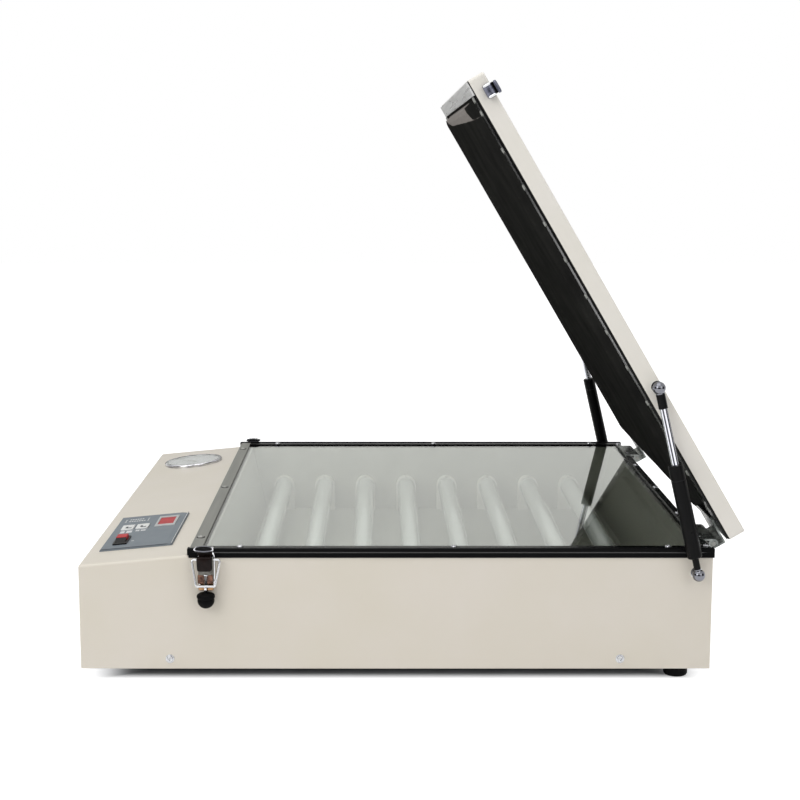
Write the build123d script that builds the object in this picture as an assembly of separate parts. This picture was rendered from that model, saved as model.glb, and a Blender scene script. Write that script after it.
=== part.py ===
"""Tabletop vacuum exposure unit for screen printing: a sheet-metal base with eight UV tubes under a
glass, and a hinged lid with a rubber blanket, held up by two gas struts and closed by two latches.

Millimetres. +Z is up, +Y runs from the operator's front to the hinges, +X is the operator's right.
The origin is under the middle of the whole unit as it stands with its lid open. Lid pieces are drawn
in the closed pose and then swung open about the hinge pin.
"""
from build123d import *
from math import atan2, cos, degrees, hypot, radians, sin, tan
import os

# ---- clearances ------------------------------------------------------------------------------
RUN = 0.06            # radial gap of a pin or shaft that turns or slides in its hole
LOOSE = 0.3           # gap between parts that pass each other
SEAT = 0.2            # gap of a panel or screw shank in its opening

# ---- base housing ----------------------------------------------------------------------------
DECK_L = 561.5        # deck under the glass, front to rear
TUBE_SIDE_ROOM = 33.0  # each tube's end to the side panel's outer face
OPEN_LID_SHIFT = 17.0  # the open lid leans out behind, so the base stands this far forward
SHEET = 1.5           # steel sheet of the housing
FOOT_H = 12.0
FOOT_R = 13.0
FOOT_ROUND = 3.0
FOOT_WELL = 1.0       # screw well wider than the screw's head
FRONT_H = 114.4       # front panel, bottom edge to bend
CONTROL_L = 118.5     # sloping control top, front to rear
CONTROL_RISE = 11.3
DECK_DROP = 2.7       # step from the control top down to the deck that carries the glass
BEND_R = 3.0
REAR_FLANGE = 14.0    # inward flange that the rear panel is screwed to
PAN_FLANGE = 18.0
SIDE_SCREW_UP = 11.0  # side screws above the housing's lower edge
SIDE_SCREW_INSET = 97.0  # side screws from the front and rear faces
SCREW_R = 2.0
SCREW_HEAD_R = 3.4
SCREW_HEAD_H = 1.8
SCREW_L = 6.0
WASHER_R = 4.8
WASHER_T = 0.8
REAR_SCREW_COUNT = 4
REAR_SCREW_INSET = 28.0
REAR_FOOT_INSET = (19.0, 33.4)   # from the side and from the rear
FRONT_FOOT_INSET = (58.0, 57.0)  # from the side and from the front

# ---- light box -------------------------------------------------------------------------------
TUBE_COUNT = 8
TUBE_PITCH = 59.8
TUBE_ROW_SHIFT = 9.2  # middle of the row in front of the tray's middle
TUBE_Z = 80.0
TUBE_R = 13.0
TUBE_L = 590.0
TUBE_WALL = 0.8
CAP_L = 9.0
CAP_T = 1.0
CAP_STEP = 0.4        # end cap stands this much proud of the glass
PIN_L = 7.0
PIN_R = 1.17
PIN_SPACING = 12.7
LINER_T = 1.0
LINER_FLANGE = (14.2, 9.4)  # flange under the glass at the front and at the rear
LINER_SLOPE = 19.0    # run of the sloping front and rear walls
LINER_FLOOR_Z = 45.0
HOLDER_T = 12.0       # tombstone lampholders stand on the tray's floor at its side walls
HOLDER_W = 29.0
SLOT_W = 3.6
SLOT_SPARE = 1.0      # pin slot deeper than the pins are long
BALLAST = (42.0, 210.0, 28.0)
BALLAST_COUNT = 4
BALLAST_PITCH = 130.0

# ---- glass and its frame ---------------------------------------------------------------------
GASKET_T = 1.4
GASKET_W = 10.0
GLASS_T = 5.0
GLASS_GAP = 3.0       # glass edge to the frame
BAR_T = 1.6
STRIP_SETBACK = 0.7   # front strip behind the control top's step
FRONT_STRIP_W = 13.4
REAR_STRIP_W = 8.0
SIDE_BAR_W = 15.0
TRIM_OUT = 1.0        # rubber edging stands proud of the side panel
TRIM_T = 2.8
TRIM_LIP_W = 6.0
TRIM_LIP_T = 0.8
TRIM_END = 1.8        # rounded end past the frame's corner
TRIM_ROUND = 0.6      # rounding of the edging's upper outer edge
TRIM_RETURN = 10.0
FRAME_SCREW_R = 3.4
FRAME_SCREW_H = 1.7
FRONT_STRIP_SCREW_INSET = 56.0
SIDE_BAR_SCREW_INSETS = (53.8, 46.0)
REAR_STRIP_SCREW_INSET = 17.0
REAR_STRIP_SCREW_X = 150.0

# ---- controls on the sloping top, placed by distance up the slope and by X --------------------
PLATE_FROM_SIDE = 134.0
PLATE_UP = 54.3
PLATE_W = 160.0
PLATE_D = 81.0
PLATE_T = 2.2
PLATE_CUT_MARGIN = 6.0
PLATE_BEVEL = 1.2
PLATE_REAR_BEVEL = (8.0, 1.6)  # wide bevel along the plate's upper edge: run, fall
DISPLAY_OFF = (-37.0, 19.6)   # from the plate's middle: across, and up the slope
BEZEL_SIZE = (50.0, 24.0, 1.2)
WINDOW_SIZE = (35.0, 18.0, 0.8)
BUTTON_SIZE = (21.0, 14.4)
BUTTON_PROUD = 1.6
BUTTON_TRAVEL = 1.0
BUTTON_DEPTH = 5.0
BUTTON_R = 1.2
TIMER_KEY_OFF = (-18.0, -23.7)
START_KEY_OFF = (-18.4, -6.7)
ROCKER_OFF = (46.0, -20.6)
ROCKER_FRAME = (36.0, 16.0, 1.6)
ROCKER_SIZE = (31.0, 11.6)
ROCKER_LEDGE = 1.5    # frame past the plate's hole
ROCKER_PLAY = 0.6
ROCKER_BODY_H = 18.0
ROCKER_PIN_R = 1.5
ROCKER_PIN_DROP = 3.0  # cross pin below the plate's face
ROCKER_TILT = 9.0     # each half of the rocker slopes down this much from the middle
ROCKER_CREST = 5.2    # middle of the rocker above the plate's face
ROCKER_LIP = 4.0      # depth of the rocker's ends
ROCKER_HUB = 3.5      # half size of the boss round the pin
ROCKER_FLOOR = 4.0
BOARD_MARGIN = 10.0   # board's far edge in from the plate's, and its near edge short of the switch
BOARD_D = 60.0
BOARD_T = 1.6
BOARD_DROP = 12.0
BOARD_POST_R = 3.0
BOARD_POST_INSET = 7.0
BOARD_PARTS = ((-40.0, 17.0, 34.0, 18.0, 8.0),    # display block: across, up, width, depth, height
               (-45.0, -12.0, 20.0, 16.0, 8.0),   # relay
               (0.0, 18.0, 16.0, 12.0, 6.0))      # transformer
TERMINAL_COUNT = 4
TERMINAL_FIRST = -50.0
TERMINAL_PITCH = 16.0
TERMINAL_W = 12.0
TERMINAL_H = 10.0
GAUGE_FROM_SIDE = 97.0
GAUGE_UP = 58.9
GAUGE_FLANGE_R = 40.5
GAUGE_FLANGE_H = 4.2
GAUGE_FLANGE_ROUND = 1.9
GAUGE_BODY_R = 31.0
GAUGE_BODY_H = 28.0
GAUGE_FACE_R = 36.5
DIAL_FLOOR = 0.8
DIAL_T = 0.5
LENS_T = 0.6
POINTER_L = 27.0
POINTER_TAIL = 9.0
POINTER_W = 1.6
POINTER_REST = 135.0  # degrees from straight up the slope, anticlockwise
SPINDLE_R = 1.0
SPINDLE_L = 5.0

# ---- vacuum pump and its hose ----------------------------------------------------------------
PUMP_X = -150.0       # joint between the motor and the head
PUMP_L = 70.0
PUMP_FROM_FRONT = 57.0
PUMP_UP = 33.5        # motor's axis above the pan
PUMP_R = 22.0
PUMP_HEAD = 46.0
PUMP_HEAD_T = 30.0
PUMP_PLATE_T = 3.0
HOSE_R = 4.0
BARB_R = 3.0
BARB_L = 12.0
HOSE_BEND = 16.0
PORT_FROM_REAR = 55.0
PORT_SLOT = (1.8, 11.0)
PORT_SHIFT = 5.5      # hose barb inboard of the suction slot
PORT_BODY_H = 8.0

# ---- power inlet on the rear panel -----------------------------------------------------------
INLET_FROM_SIDE = 78.0
INLET_UP = 50.0       # above the housing's lower edge
INLET_FLANGE = (50.0, 26.0, 3.5)
INLET_BODY = (30.0, 21.5, 20.0)
INLET_SOCKET = (24.6, 16.6, 16.0)
INLET_PIN = (2.0, 4.0, 11.0)
VENT_COLUMNS = (-120.0, 120.0)
VENT_SLOTS = 12
VENT_PITCH = 9.0
VENT_SLOT = (3.2, 42.0)

# ---- lid, drawn closed -----------------------------------------------------------------------
LID_OPEN = 59.4       # degrees from closed to the struts' full length
LID_FRONT_GAP = 4.1   # lid's front end behind the control top's step
LID_H = 18.2
LID_SHEET = 1.2
LID_LIP = 28.0        # inward lip under the lid's edge
LID_R = 3.0
HINGE_BACK = 8.7      # pin behind the base's rear face
HINGE_UP = 5.7        # pin above the deck
LID_OVER_PIN = 14.9   # lid's lower edge above the pin
LID_BEFORE_PIN = 7.1  # lid's rear end in front of the pin
BLANKET_T = 1.2
BLANKET_INSET = 1.0
CLAMP_T = 1.6
CLAMP_SET = 2.0       # clamp in from the lid's sides and rear
CLAMP_W = 27.5
CLAMP_REAR_W = 20.0
LID_STRIP_SET = 1.0   # strip and clamp in from the lid's edge
LID_STRIP_W = 15.4
PILLOW_H = 11.2       # blanket pad below the lid's lower edge
PILLOW_SIDE = 65.0    # lid's side to the pad
PILLOW_FRONT = 21.0
PILLOW_REAR = 31.0
PILLOW_BEVEL = (17.0, 4.0)
PILLOW_REAR_BEVEL = (8.0, 1.5)
PILLOW_EDGE = 3.0
LID_SCREW_COUNT = 12
LID_SCREW_FRONT = 19.7  # first side screw behind the front strip
LID_SCREW_REAR = 38.9  # last side screw in front of the lid's rear end
LID_CORNER_SCREW = 15.5  # one more screw this far in front of the first
LID_SCREW_EDGE = 15.0
LID_SCREW_R = 3.6
LID_SCREW_H = 2.0
LID_REAR_SCREW_COUNT = 9
LID_REAR_SCREW_PITCH = 45.0

# ---- hinges ----------------------------------------------------------------------------------
HINGE_FROM_SIDE = 75.0
HINGE_W = 72.0
KNUCKLE_R = 5.3
KNUCKLES = 5
BASE_KNUCKLES = range(0, KNUCKLES, 2)
LID_KNUCKLES = range(1, KNUCKLES, 2)
HINGE_PIN_R = 2.5
LEAF_T = 2.0
LEAF_SCREW_R = 2.6
LEAF_SCREWS = (-24.0, 0.0, 24.0)
LEAF_CORNER_R = 4.0

# ---- gas struts ------------------------------------------------------------------------------
STRUT_OUT = 12.0      # strut's axis outside the side panel
BASE_STUD_FROM_REAR = 17.3
BASE_STUD_DOWN = 16.2
LID_STUD_FROM_REAR = 184.4
LID_STUD_UP = 12.9
STUD_R = 3.0
STUD_FLANGE = (6.5, 1.5)
STUD_TIP = 3.6        # lower stud past the strut's axis
LOWER_BALL_R = 6.8
UPPER_BALL_R = 7.0
LID_STUD_R = 2.4
CUP_R = 5.7           # roomy cup: the stud floats in it as the lid swings
CUP_DEPTH = 2.0       # past the strut's axis
NECK_R = 3.6
CYL_START = 19.6
CYL_L = 103.0
CYL_R = 8.0
CYL_WALL = 1.1
CYL_END_T = 6.4
CAP_GROOVE = 16.0
ROD_R = 4.0
ROD_END = 22.0        # black end fitting and ball at the rod's tip
ROD_FITTING_R = 4.8
PISTON_AT = 78.0
PISTON_T = 8.0

# ---- latches ---------------------------------------------------------------------------------
LATCH_BACK = 15.6     # latch behind the lid's front end
KEEPER_BACK = 19.9
LATCH_PIVOT_OUT = 7.0
LATCH_PIVOT_DOWN = 0.5   # below the deck
LATCH_PLATE_T = 1.2
LATCH_PLATE_W = 18.0
LATCH_PLATE_H = 32.0
LATCH_EAR = (7.6, 11.0)
LATCH_EAR_T = 1.2
LIP_W = 21.6
LIP_RISE = 14.0       # flared lip above the pivot
LIP_OUT = 12.5
LEVER_W = 17.0
LEVER_T = 1.2
LEVER_DEPTH = 9.2
LEVER_L = 28.0
LEVER_TOP = 3.5
BAIL_WIRE_R = 1.2
BAIL_TOP_W = 33.0
BAIL_END_W = 22.5
BAIL_DROP = 27.5
BAIL_OUT = 7.0
STEM_R = 2.0
STEM_OUT = 3.0
KNOB_R = 9.2
KNOB_DOWN = 43.5
KEEPER_W = 15.4
KEEPER_OUT = 9.4
KEEPER_T = 1.4
KEEPER_UP = 8.7
KEEPER_BOX_H = 9.5
KEEPER_HOOK_H = 15.6
KEEPER_HOOK_OUT = 4.4


# ---- worked out ------------------------------------------------------------------------------
def spread(half, count):
    """Places spread evenly from -half to half."""
    return [-half + 2 * half * n / (count - 1) for n in range(count)]


HALF_W = TUBE_L / 2 + TUBE_SIDE_ROOM
BASE_L = CONTROL_L + DECK_L
FRONT_Y = -BASE_L / 2 - OPEN_LID_SHIFT
REAR_Y = FRONT_Y + BASE_L
FRONT_TOP_Z = FOOT_H + FRONT_H
STEP_Y = FRONT_Y + CONTROL_L
CONTROL_REAR_Z = FRONT_TOP_Z + CONTROL_RISE
DECK_Z = CONTROL_REAR_Z - DECK_DROP
SLOPE = degrees(atan2(CONTROL_RISE, CONTROL_L))
LINER_TOP_Z = DECK_Z + LINER_T
GLASS_LOW_Z = LINER_TOP_Z + GASKET_T
GLASS_TOP_Z = GLASS_LOW_Z + GLASS_T
FRAME_TOP_Z = GLASS_TOP_Z + BAR_T
FRAME_FRONT_Y = STEP_Y + STRIP_SETBACK
TRIM_OUT_X = HALF_W + TRIM_OUT
BAR_OUT_X = TRIM_OUT_X - TRIM_T
GLASS_HALF = BAR_OUT_X - BAR_T - GLASS_GAP
GLASS_FRONT_Y = FRAME_FRONT_Y + BAR_T + GLASS_GAP
GLASS_REAR_Y = REAR_Y - BAR_T - GLASS_GAP
LINER_HALF = TUBE_L / 2 + LOOSE + HOLDER_T
LINER_FRONT_Y = GLASS_FRONT_Y + LINER_FLANGE[0]
LINER_REAR_Y = GLASS_REAR_Y - LINER_FLANGE[1]
LINER_MID_Y = (LINER_FRONT_Y + LINER_REAR_Y) / 2
HINGE_Y = REAR_Y + HINGE_BACK
HINGE_Z = DECK_Z + HINGE_UP
LID_LOW_Z = HINGE_Z + LID_OVER_PIN
LID_REAR_Y = HINGE_Y - LID_BEFORE_PIN
LID_FRONT_Y = STEP_Y + LID_FRONT_GAP
LID_TOP_Z = LID_LOW_Z + LID_H
BLANKET_LOW_Z = LID_LOW_Z - BLANKET_T
CLAMP_LOW_Z = BLANKET_LOW_Z - CLAMP_T
STRUT_X = HALF_W + STRUT_OUT
PORT_MID_X = -(GLASS_HALF + GLASS_GAP / 2)
PORT_BARB_Z = DECK_Z - SHEET - PORT_BODY_H - LOOSE
SIDE_SCREWS_Y = (FRONT_Y + SIDE_SCREW_INSET, REAR_Y - SIDE_SCREW_INSET)
REAR_SCREWS = [(x, z) for x in spread(HALF_W - REAR_SCREW_INSET, REAR_SCREW_COUNT)
               for z in (FOOT_H + SHEET + REAR_FLANGE / 2, DECK_Z - REAR_FLANGE / 2)]
PLATE_X = HALF_W - PLATE_FROM_SIDE
TIMER_KEY = (PLATE_X + TIMER_KEY_OFF[0], PLATE_UP + TIMER_KEY_OFF[1])
START_KEY = (PLATE_X + START_KEY_OFF[0], PLATE_UP + START_KEY_OFF[1])
DISPLAY_AT = (PLATE_X + DISPLAY_OFF[0], PLATE_UP + DISPLAY_OFF[1])
ROCKER_AT = (PLATE_X + ROCKER_OFF[0], PLATE_UP + ROCKER_OFF[1])
BOARD_X = (PLATE_X - PLATE_W / 2 + BOARD_MARGIN, ROCKER_AT[0] - ROCKER_FRAME[0] / 2 - BOARD_MARGIN / 4)
BOARD_Y = (PLATE_UP - BOARD_D / 2, PLATE_UP + BOARD_D / 2)
GAUGE_X = GAUGE_FROM_SIDE - HALF_W
PUMP_Y = FRONT_Y + PUMP_FROM_FRONT
PUMP_Z = FOOT_H + SHEET + PUMP_UP
PORT_Y = REAR_Y - PORT_FROM_REAR
INLET_X = HALF_W - INLET_FROM_SIDE
INLET_Z = FOOT_H + INLET_UP
HINGE_X = HALF_W - HINGE_FROM_SIDE
LATCH_Y = LID_FRONT_Y + LATCH_BACK
KEEPER_Y = LID_FRONT_Y + KEEPER_BACK
LID_STRIP_REAR_Y = LID_FRONT_Y + LID_STRIP_SET + LID_STRIP_W
TUBES_Y = [LINER_MID_Y - TUBE_ROW_SHIFT + (n - (TUBE_COUNT - 1) / 2) * TUBE_PITCH
           for n in range(TUBE_COUNT)]
SWING_OPEN = Pos(0, HINGE_Y, HINGE_Z) * Rot(-LID_OPEN, 0, 0) * Pos(0, -HINGE_Y, -HINGE_Z)
ON_SLOPE = Pos(0, FRONT_Y, FRONT_TOP_Z) * Rot(SLOPE, 0, 0)


# ---- shapes ----------------------------------------------------------------------------------
def block(x0, x1, y0, y1, z0, z1):
    """A box given by its low and high coordinates."""
    middle = Pos((x0 + x1) / 2, (y0 + y1) / 2, (z0 + z1) / 2)
    return middle * Box(x1 - x0, y1 - y0, z1 - z0)


def rod_x(radius, x0, x1, y, z):
    return Pos((x0 + x1) / 2, y, z) * Rot(0, 90, 0) * Cylinder(radius, x1 - x0)


def rod_y(radius, x, y0, y1, z):
    return Pos(x, (y0 + y1) / 2, z) * Rot(90, 0, 0) * Cylinder(radius, y1 - y0)


def rod_z(radius, x, y, z0, z1):
    return Pos(x, y, (z0 + z1) / 2) * Cylinder(radius, z1 - z0)


def prism_x(outline, x0, x1):
    """A (y, z) outline carried along X."""
    face = Plane.YZ.offset(x0) * make_face(Polyline(*outline, close=True))
    return extrude(face, amount=x1 - x0)


def prism_y(outline, y0, y1):
    """An (x, z) outline carried along Y."""
    face = Plane.XZ.offset(-y0) * make_face(Polyline(*outline, close=True))
    return extrude(face, amount=y0 - y1)


def dome_head(radius, height):
    """A pan head standing on the XY plane, its top edge rounded."""
    head = Pos(0, 0, height / 2) * Cylinder(radius, height)
    return fillet(head.edges().group_by(Axis.Z)[-1], height * 0.6)


def upright_edges(solid):
    return solid.edges().filter_by(Axis.Z)


def both_sides(solid):
    return [solid, mirror(solid, about=Plane.YZ)]


def solids_of(pieces):
    found = []
    for piece in pieces:
        found += list(piece.solids())
    return found


def save(node, *pieces):
    solids = solids_of(pieces)
    shape = solids[0] if len(solids) == 1 else Compound(solids)
    export_step(shape, f"parts/{node}.step")


# ---- base housing ----------------------------------------------------------------------------
def slope_at(y):
    """Height of the control top's surface."""
    return FRONT_TOP_Z + (y - FRONT_Y) * tan(radians(SLOPE))


def base_shell():
    """Folded housing: sides, front, sloping control top and the deck round the glass."""
    tail_y = REAR_Y - SHEET
    outer = prism_x([(FRONT_Y, FOOT_H), (FRONT_Y, FRONT_TOP_Z), (STEP_Y, CONTROL_REAR_Z),
                     (STEP_Y, DECK_Z), (tail_y, DECK_Z), (tail_y, FOOT_H)], -HALF_W, HALF_W)
    bends = [edge for edge in outer.edges() if edge.center().Z > FOOT_H + BEND_R
             and (abs(edge.center().X) > HALF_W - BEND_R or edge.center().Y < FRONT_Y + BEND_R)
             and edge.center().Y < STEP_Y - BEND_R]
    outer = fillet(bends, BEND_R)
    inner_z = SHEET / cos(radians(SLOPE))
    front_in, step_in = FRONT_Y + SHEET, STEP_Y - SHEET
    below = FOOT_H - SHEET
    inner = prism_x([(front_in, below), (front_in, slope_at(front_in) - inner_z),
                     (step_in, slope_at(step_in) - inner_z), (step_in, DECK_Z - SHEET),
                     (tail_y - SHEET, DECK_Z - SHEET), (tail_y - SHEET, below)],
                    -HALF_W + SHEET, HALF_W - SHEET)
    shell = outer - inner
    reach = LINER_HALF + LINER_T + LOOSE
    shell -= block(-reach, reach, LINER_FRONT_Y - LINER_T - LOOSE, LINER_REAR_Y + LINER_T + LOOSE,
                   DECK_Z - 2 * SHEET, DECK_Z + SHEET)
    shell -= block(-HALF_W + REAR_FLANGE, HALF_W - REAR_FLANGE, tail_y - 2 * SHEET, REAR_Y,
                   FOOT_H + REAR_FLANGE, DECK_Z - REAR_FLANGE)
    shell -= block(-HALF_W + SHEET, HALF_W - SHEET, tail_y - 2 * SHEET, REAR_Y, below,
                   FOOT_H + SHEET + SEAT)
    shell -= ON_SLOPE * plate_cutout()
    shell -= ON_SLOPE * rod_z(GAUGE_BODY_R + SEAT, GAUGE_X, GAUGE_UP, -10, 10)
    for y in SIDE_SCREWS_Y:
        shell -= rod_x(SCREW_R + SEAT, -HALF_W - SHEET, HALF_W + SHEET, y, FOOT_H + SIDE_SCREW_UP)
    for x, z in REAR_SCREWS:
        shell -= rod_y(SCREW_R + SEAT, x, tail_y - 2 * SHEET, REAR_Y, z)
    slot_x, slot_y = PORT_SLOT
    return shell - block(PORT_MID_X - slot_x / 2 - SEAT, PORT_MID_X + slot_x / 2 + SEAT,
                         PORT_Y - slot_y / 2 - SEAT, PORT_Y + slot_y / 2 + SEAT,
                         DECK_Z - 2 * SHEET, DECK_Z + SHEET)


def plate_cutout():
    x_half = PLATE_W / 2 - PLATE_CUT_MARGIN
    y_half = PLATE_D / 2 - PLATE_CUT_MARGIN
    return block(PLATE_X - x_half, PLATE_X + x_half, PLATE_UP - y_half, PLATE_UP + y_half, -10, 10)


def bottom_pan():
    x_out, y_front, y_rear = HALF_W - SHEET - SEAT, FRONT_Y + SHEET + SEAT, REAR_Y - 2 * SHEET - SEAT
    pan = block(-x_out, x_out, y_front, y_rear, FOOT_H, FOOT_H + PAN_FLANGE)
    pan -= block(-x_out + SHEET, x_out - SHEET, y_front + SHEET, y_rear - SHEET,
                 FOOT_H + SHEET, FOOT_H + PAN_FLANGE + SHEET)
    for y in SIDE_SCREWS_Y:
        pan -= rod_x(SCREW_R + SEAT, -HALF_W, HALF_W, y, FOOT_H + SIDE_SCREW_UP)
    for x, z in REAR_SCREWS:
        pan -= rod_y(SCREW_R + SEAT, x, y_rear - 2 * SHEET, REAR_Y, z)
    for x, y in feet_places():
        pan -= rod_z(SCREW_R + SEAT, x, y, 0, FOOT_H + 2 * SHEET)
    return pan


def feet_places():
    rear = (HALF_W - REAR_FOOT_INSET[0], REAR_Y - REAR_FOOT_INSET[1])
    front = (HALF_W - FRONT_FOOT_INSET[0], FRONT_Y + FRONT_FOOT_INSET[1])
    return [(side * x, y) for x, y in (rear, front) for side in (-1, 1)]


def foot(x, y):
    """Rubber foot with a sunk screw hole."""
    body = Pos(0, 0, FOOT_H / 2) * Cylinder(FOOT_R, FOOT_H)
    body = fillet(body.edges().group_by(Axis.Z)[0], FOOT_ROUND)
    body -= rod_z(SCREW_HEAD_R + FOOT_WELL, 0, 0, -FOOT_H, FOOT_H / 2)
    body -= rod_z(SCREW_R + SEAT, 0, 0, 0, 2 * FOOT_H)
    return Pos(x, y, 0) * body


def screw(length):
    """Pan-head screw, head above the XY plane and shank below it."""
    shank = Pos(0, 0, -length / 2) * Cylinder(SCREW_R, length)
    return dome_head(SCREW_HEAD_R, SCREW_HEAD_H) + shank


def body_screws():
    """Side screws on washers, rear panel screws and the screws up through the feet."""
    pieces = []
    washer = Pos(0, 0, WASHER_T / 2) * Cylinder(WASHER_R, WASHER_T)
    for y in SIDE_SCREWS_Y:
        side = Pos(HALF_W, y, FOOT_H + SIDE_SCREW_UP) * Rot(0, 90, 0)
        pieces += both_sides(side * (washer + Pos(0, 0, WASHER_T) * screw(SCREW_L)))
    for x, z in REAR_SCREWS:
        pieces.append(Pos(x, REAR_Y, z) * Rot(-90, 0, 0) * screw(SCREW_L))
    for x, y in feet_places():
        pieces.append(Pos(x, y, FOOT_H / 2) * Rot(180, 0, 0) * screw(FOOT_H / 2 + 2 * SHEET))
    return pieces


def rear_panel():
    """Rear cover with two fields of vent slots and the power inlet's cut-out."""
    panel = block(-HALF_W, HALF_W, REAR_Y - SHEET, REAR_Y, FOOT_H, DECK_Z)
    slot_w, slot_h = VENT_SLOT
    for middle in VENT_COLUMNS:
        for n in range(VENT_SLOTS):
            x = middle + (n - (VENT_SLOTS - 1) / 2) * VENT_PITCH
            panel -= block(x - slot_w / 2, x + slot_w / 2, REAR_Y - 2 * SHEET, REAR_Y + SHEET,
                           INLET_Z - slot_h / 2, INLET_Z + slot_h / 2)
    body_x, body_z = INLET_BODY[0] / 2 + SEAT, INLET_BODY[1] / 2 + SEAT
    panel -= block(INLET_X - body_x, INLET_X + body_x, REAR_Y - 2 * SHEET, REAR_Y + SHEET,
                   INLET_Z - body_z, INLET_Z + body_z)
    for x, z in REAR_SCREWS:
        panel -= rod_y(SCREW_R + SEAT, x, REAR_Y - 2 * SHEET, REAR_Y + SHEET, z)
    return panel


def power_inlet():
    """Three-pin mains inlet, its flange on the rear panel."""
    flange_x, flange_z, flange_t = INLET_FLANGE
    body_x, body_z, body_d = INLET_BODY
    hole_x, hole_z, hole_d = INLET_SOCKET
    face = REAR_Y + flange_t
    at = Pos(INLET_X, 0, INLET_Z)
    inlet = at * block(-flange_x / 2, flange_x / 2, REAR_Y, face, -flange_z / 2, flange_z / 2)
    inlet = fillet(inlet.edges().filter_by(Axis.Y), 5.0)
    inlet += at * block(-body_x / 2, body_x / 2, REAR_Y - body_d, REAR_Y, -body_z / 2, body_z / 2)
    inlet -= at * block(-hole_x / 2, hole_x / 2, face - hole_d, face + 1, -hole_z / 2, hole_z / 2)
    pin_x, pin_z, pin_l = INLET_PIN
    for x, z in ((-7.0, -2.0), (7.0, -2.0), (0.0, 2.0)):
        inlet += at * block(x - pin_x / 2, x + pin_x / 2, face - hole_d - 1, face - hole_d + pin_l,
                            z - pin_z / 2, z + pin_z / 2)
    return inlet


# ---- light box -------------------------------------------------------------------------------
def light_box():
    """White reflector tray hung by its flange on the deck."""
    low_front, low_rear = LINER_FRONT_Y + LINER_SLOPE, LINER_REAR_Y - LINER_SLOPE
    over = LINER_TOP_Z + LINER_T
    grow = LINER_T
    outer = prism_x([(LINER_FRONT_Y - grow, LINER_TOP_Z), (low_front - grow, LINER_FLOOR_Z - grow),
                     (low_rear + grow, LINER_FLOOR_Z - grow), (LINER_REAR_Y + grow, LINER_TOP_Z)],
                    -LINER_HALF - LINER_T, LINER_HALF + LINER_T)
    tray = outer + block(-GLASS_HALF, GLASS_HALF, GLASS_FRONT_Y, GLASS_REAR_Y, DECK_Z, LINER_TOP_Z)
    return tray - prism_x([(LINER_FRONT_Y, over), (LINER_FRONT_Y, LINER_TOP_Z),
                           (low_front, LINER_FLOOR_Z), (low_rear, LINER_FLOOR_Z),
                           (LINER_REAR_Y, LINER_TOP_Z), (LINER_REAR_Y, over)],
                          -LINER_HALF, LINER_HALF)


def uv_tube(y):
    """Fluorescent tube: a glass pipe and two metal caps with two contact pins each."""
    end = TUBE_L / 2 - CAP_T
    glass = rod_x(TUBE_R, -end, end, y, TUBE_Z)
    glass -= rod_x(TUBE_R - TUBE_WALL, -end - 1, end + 1, y, TUBE_Z)
    cap = rod_x(TUBE_R + CAP_STEP, TUBE_L / 2 - CAP_L, TUBE_L / 2, y, TUBE_Z)
    cap -= rod_x(TUBE_R + RUN, TUBE_L / 2 - CAP_L - 1, end, y, TUBE_Z)
    for up in (-PIN_SPACING / 2, PIN_SPACING / 2):
        cap += rod_x(PIN_R, end, TUBE_L / 2 + PIN_L, y, TUBE_Z + up)
    return [glass, *both_sides(cap)]


def lampholder(y):
    """Tombstone lampholder: it stands on the tray's floor and arches round the tube's axis."""
    face = LINER_HALF - HOLDER_T
    arch = HOLDER_W / 2
    holder = block(face, LINER_HALF, y - arch, y + arch, LINER_FLOOR_Z, TUBE_Z)
    holder += rod_x(arch, face, LINER_HALF, y, TUBE_Z)
    return holder - block(face - LOOSE, face + PIN_L + SLOT_SPARE, y - SLOT_W / 2, y + SLOT_W / 2,
                          TUBE_Z - PIN_SPACING / 2 - PIN_R - LOOSE, TUBE_Z + HOLDER_W)


def ballast(x):
    wide, long, high = BALLAST
    low = FOOT_H + SHEET
    body = block(x - wide / 2, x + wide / 2, LINER_MID_Y - long / 2, LINER_MID_Y + long / 2,
                 low, low + high)
    return chamfer(body.edges().filter_by(Axis.Y).group_by(Axis.Z)[-1], 3.0)


# ---- glass and its frame ---------------------------------------------------------------------
def glass_gasket():
    edge = GLASS_GAP / 2
    x_out, y_front, y_rear = GLASS_HALF - edge, GLASS_FRONT_Y + edge, GLASS_REAR_Y - edge
    ring = block(-x_out, x_out, y_front, y_rear, LINER_TOP_Z, GLASS_LOW_Z)
    hole = block(-x_out + GASKET_W, x_out - GASKET_W, y_front + GASKET_W, y_rear - GASKET_W / 2,
                 DECK_Z, GLASS_TOP_Z)
    return ring - hole


def exposure_glass():
    pane = block(-GLASS_HALF, GLASS_HALF, GLASS_FRONT_Y, GLASS_REAR_Y, GLASS_LOW_Z, GLASS_TOP_Z)
    return chamfer(pane.edges().group_by(Axis.Z)[-1], 0.6)


def front_strip():
    """Angle strip over the front edge of the glass."""
    strip = block(-BAR_OUT_X, BAR_OUT_X, FRAME_FRONT_Y, FRAME_FRONT_Y + FRONT_STRIP_W,
                  GLASS_TOP_Z, FRAME_TOP_Z)
    strip += block(-BAR_OUT_X, BAR_OUT_X, FRAME_FRONT_Y, FRAME_FRONT_Y + BAR_T, DECK_Z, GLASS_TOP_Z)
    return fillet(strip.edges().filter_by(Axis.X).group_by(Axis.Z)[-1].sort_by(Axis.Y)[0], 1.0)


def rear_strip():
    strip = block(-BAR_OUT_X, BAR_OUT_X, REAR_Y - REAR_STRIP_W, REAR_Y, GLASS_TOP_Z, FRAME_TOP_Z)
    strip += block(-BAR_OUT_X, BAR_OUT_X, REAR_Y - BAR_T, REAR_Y, DECK_Z, GLASS_TOP_Z)
    return fillet(strip.edges().filter_by(Axis.X).group_by(Axis.Z)[-1].sort_by(Axis.Y)[-1], 1.0)


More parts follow.
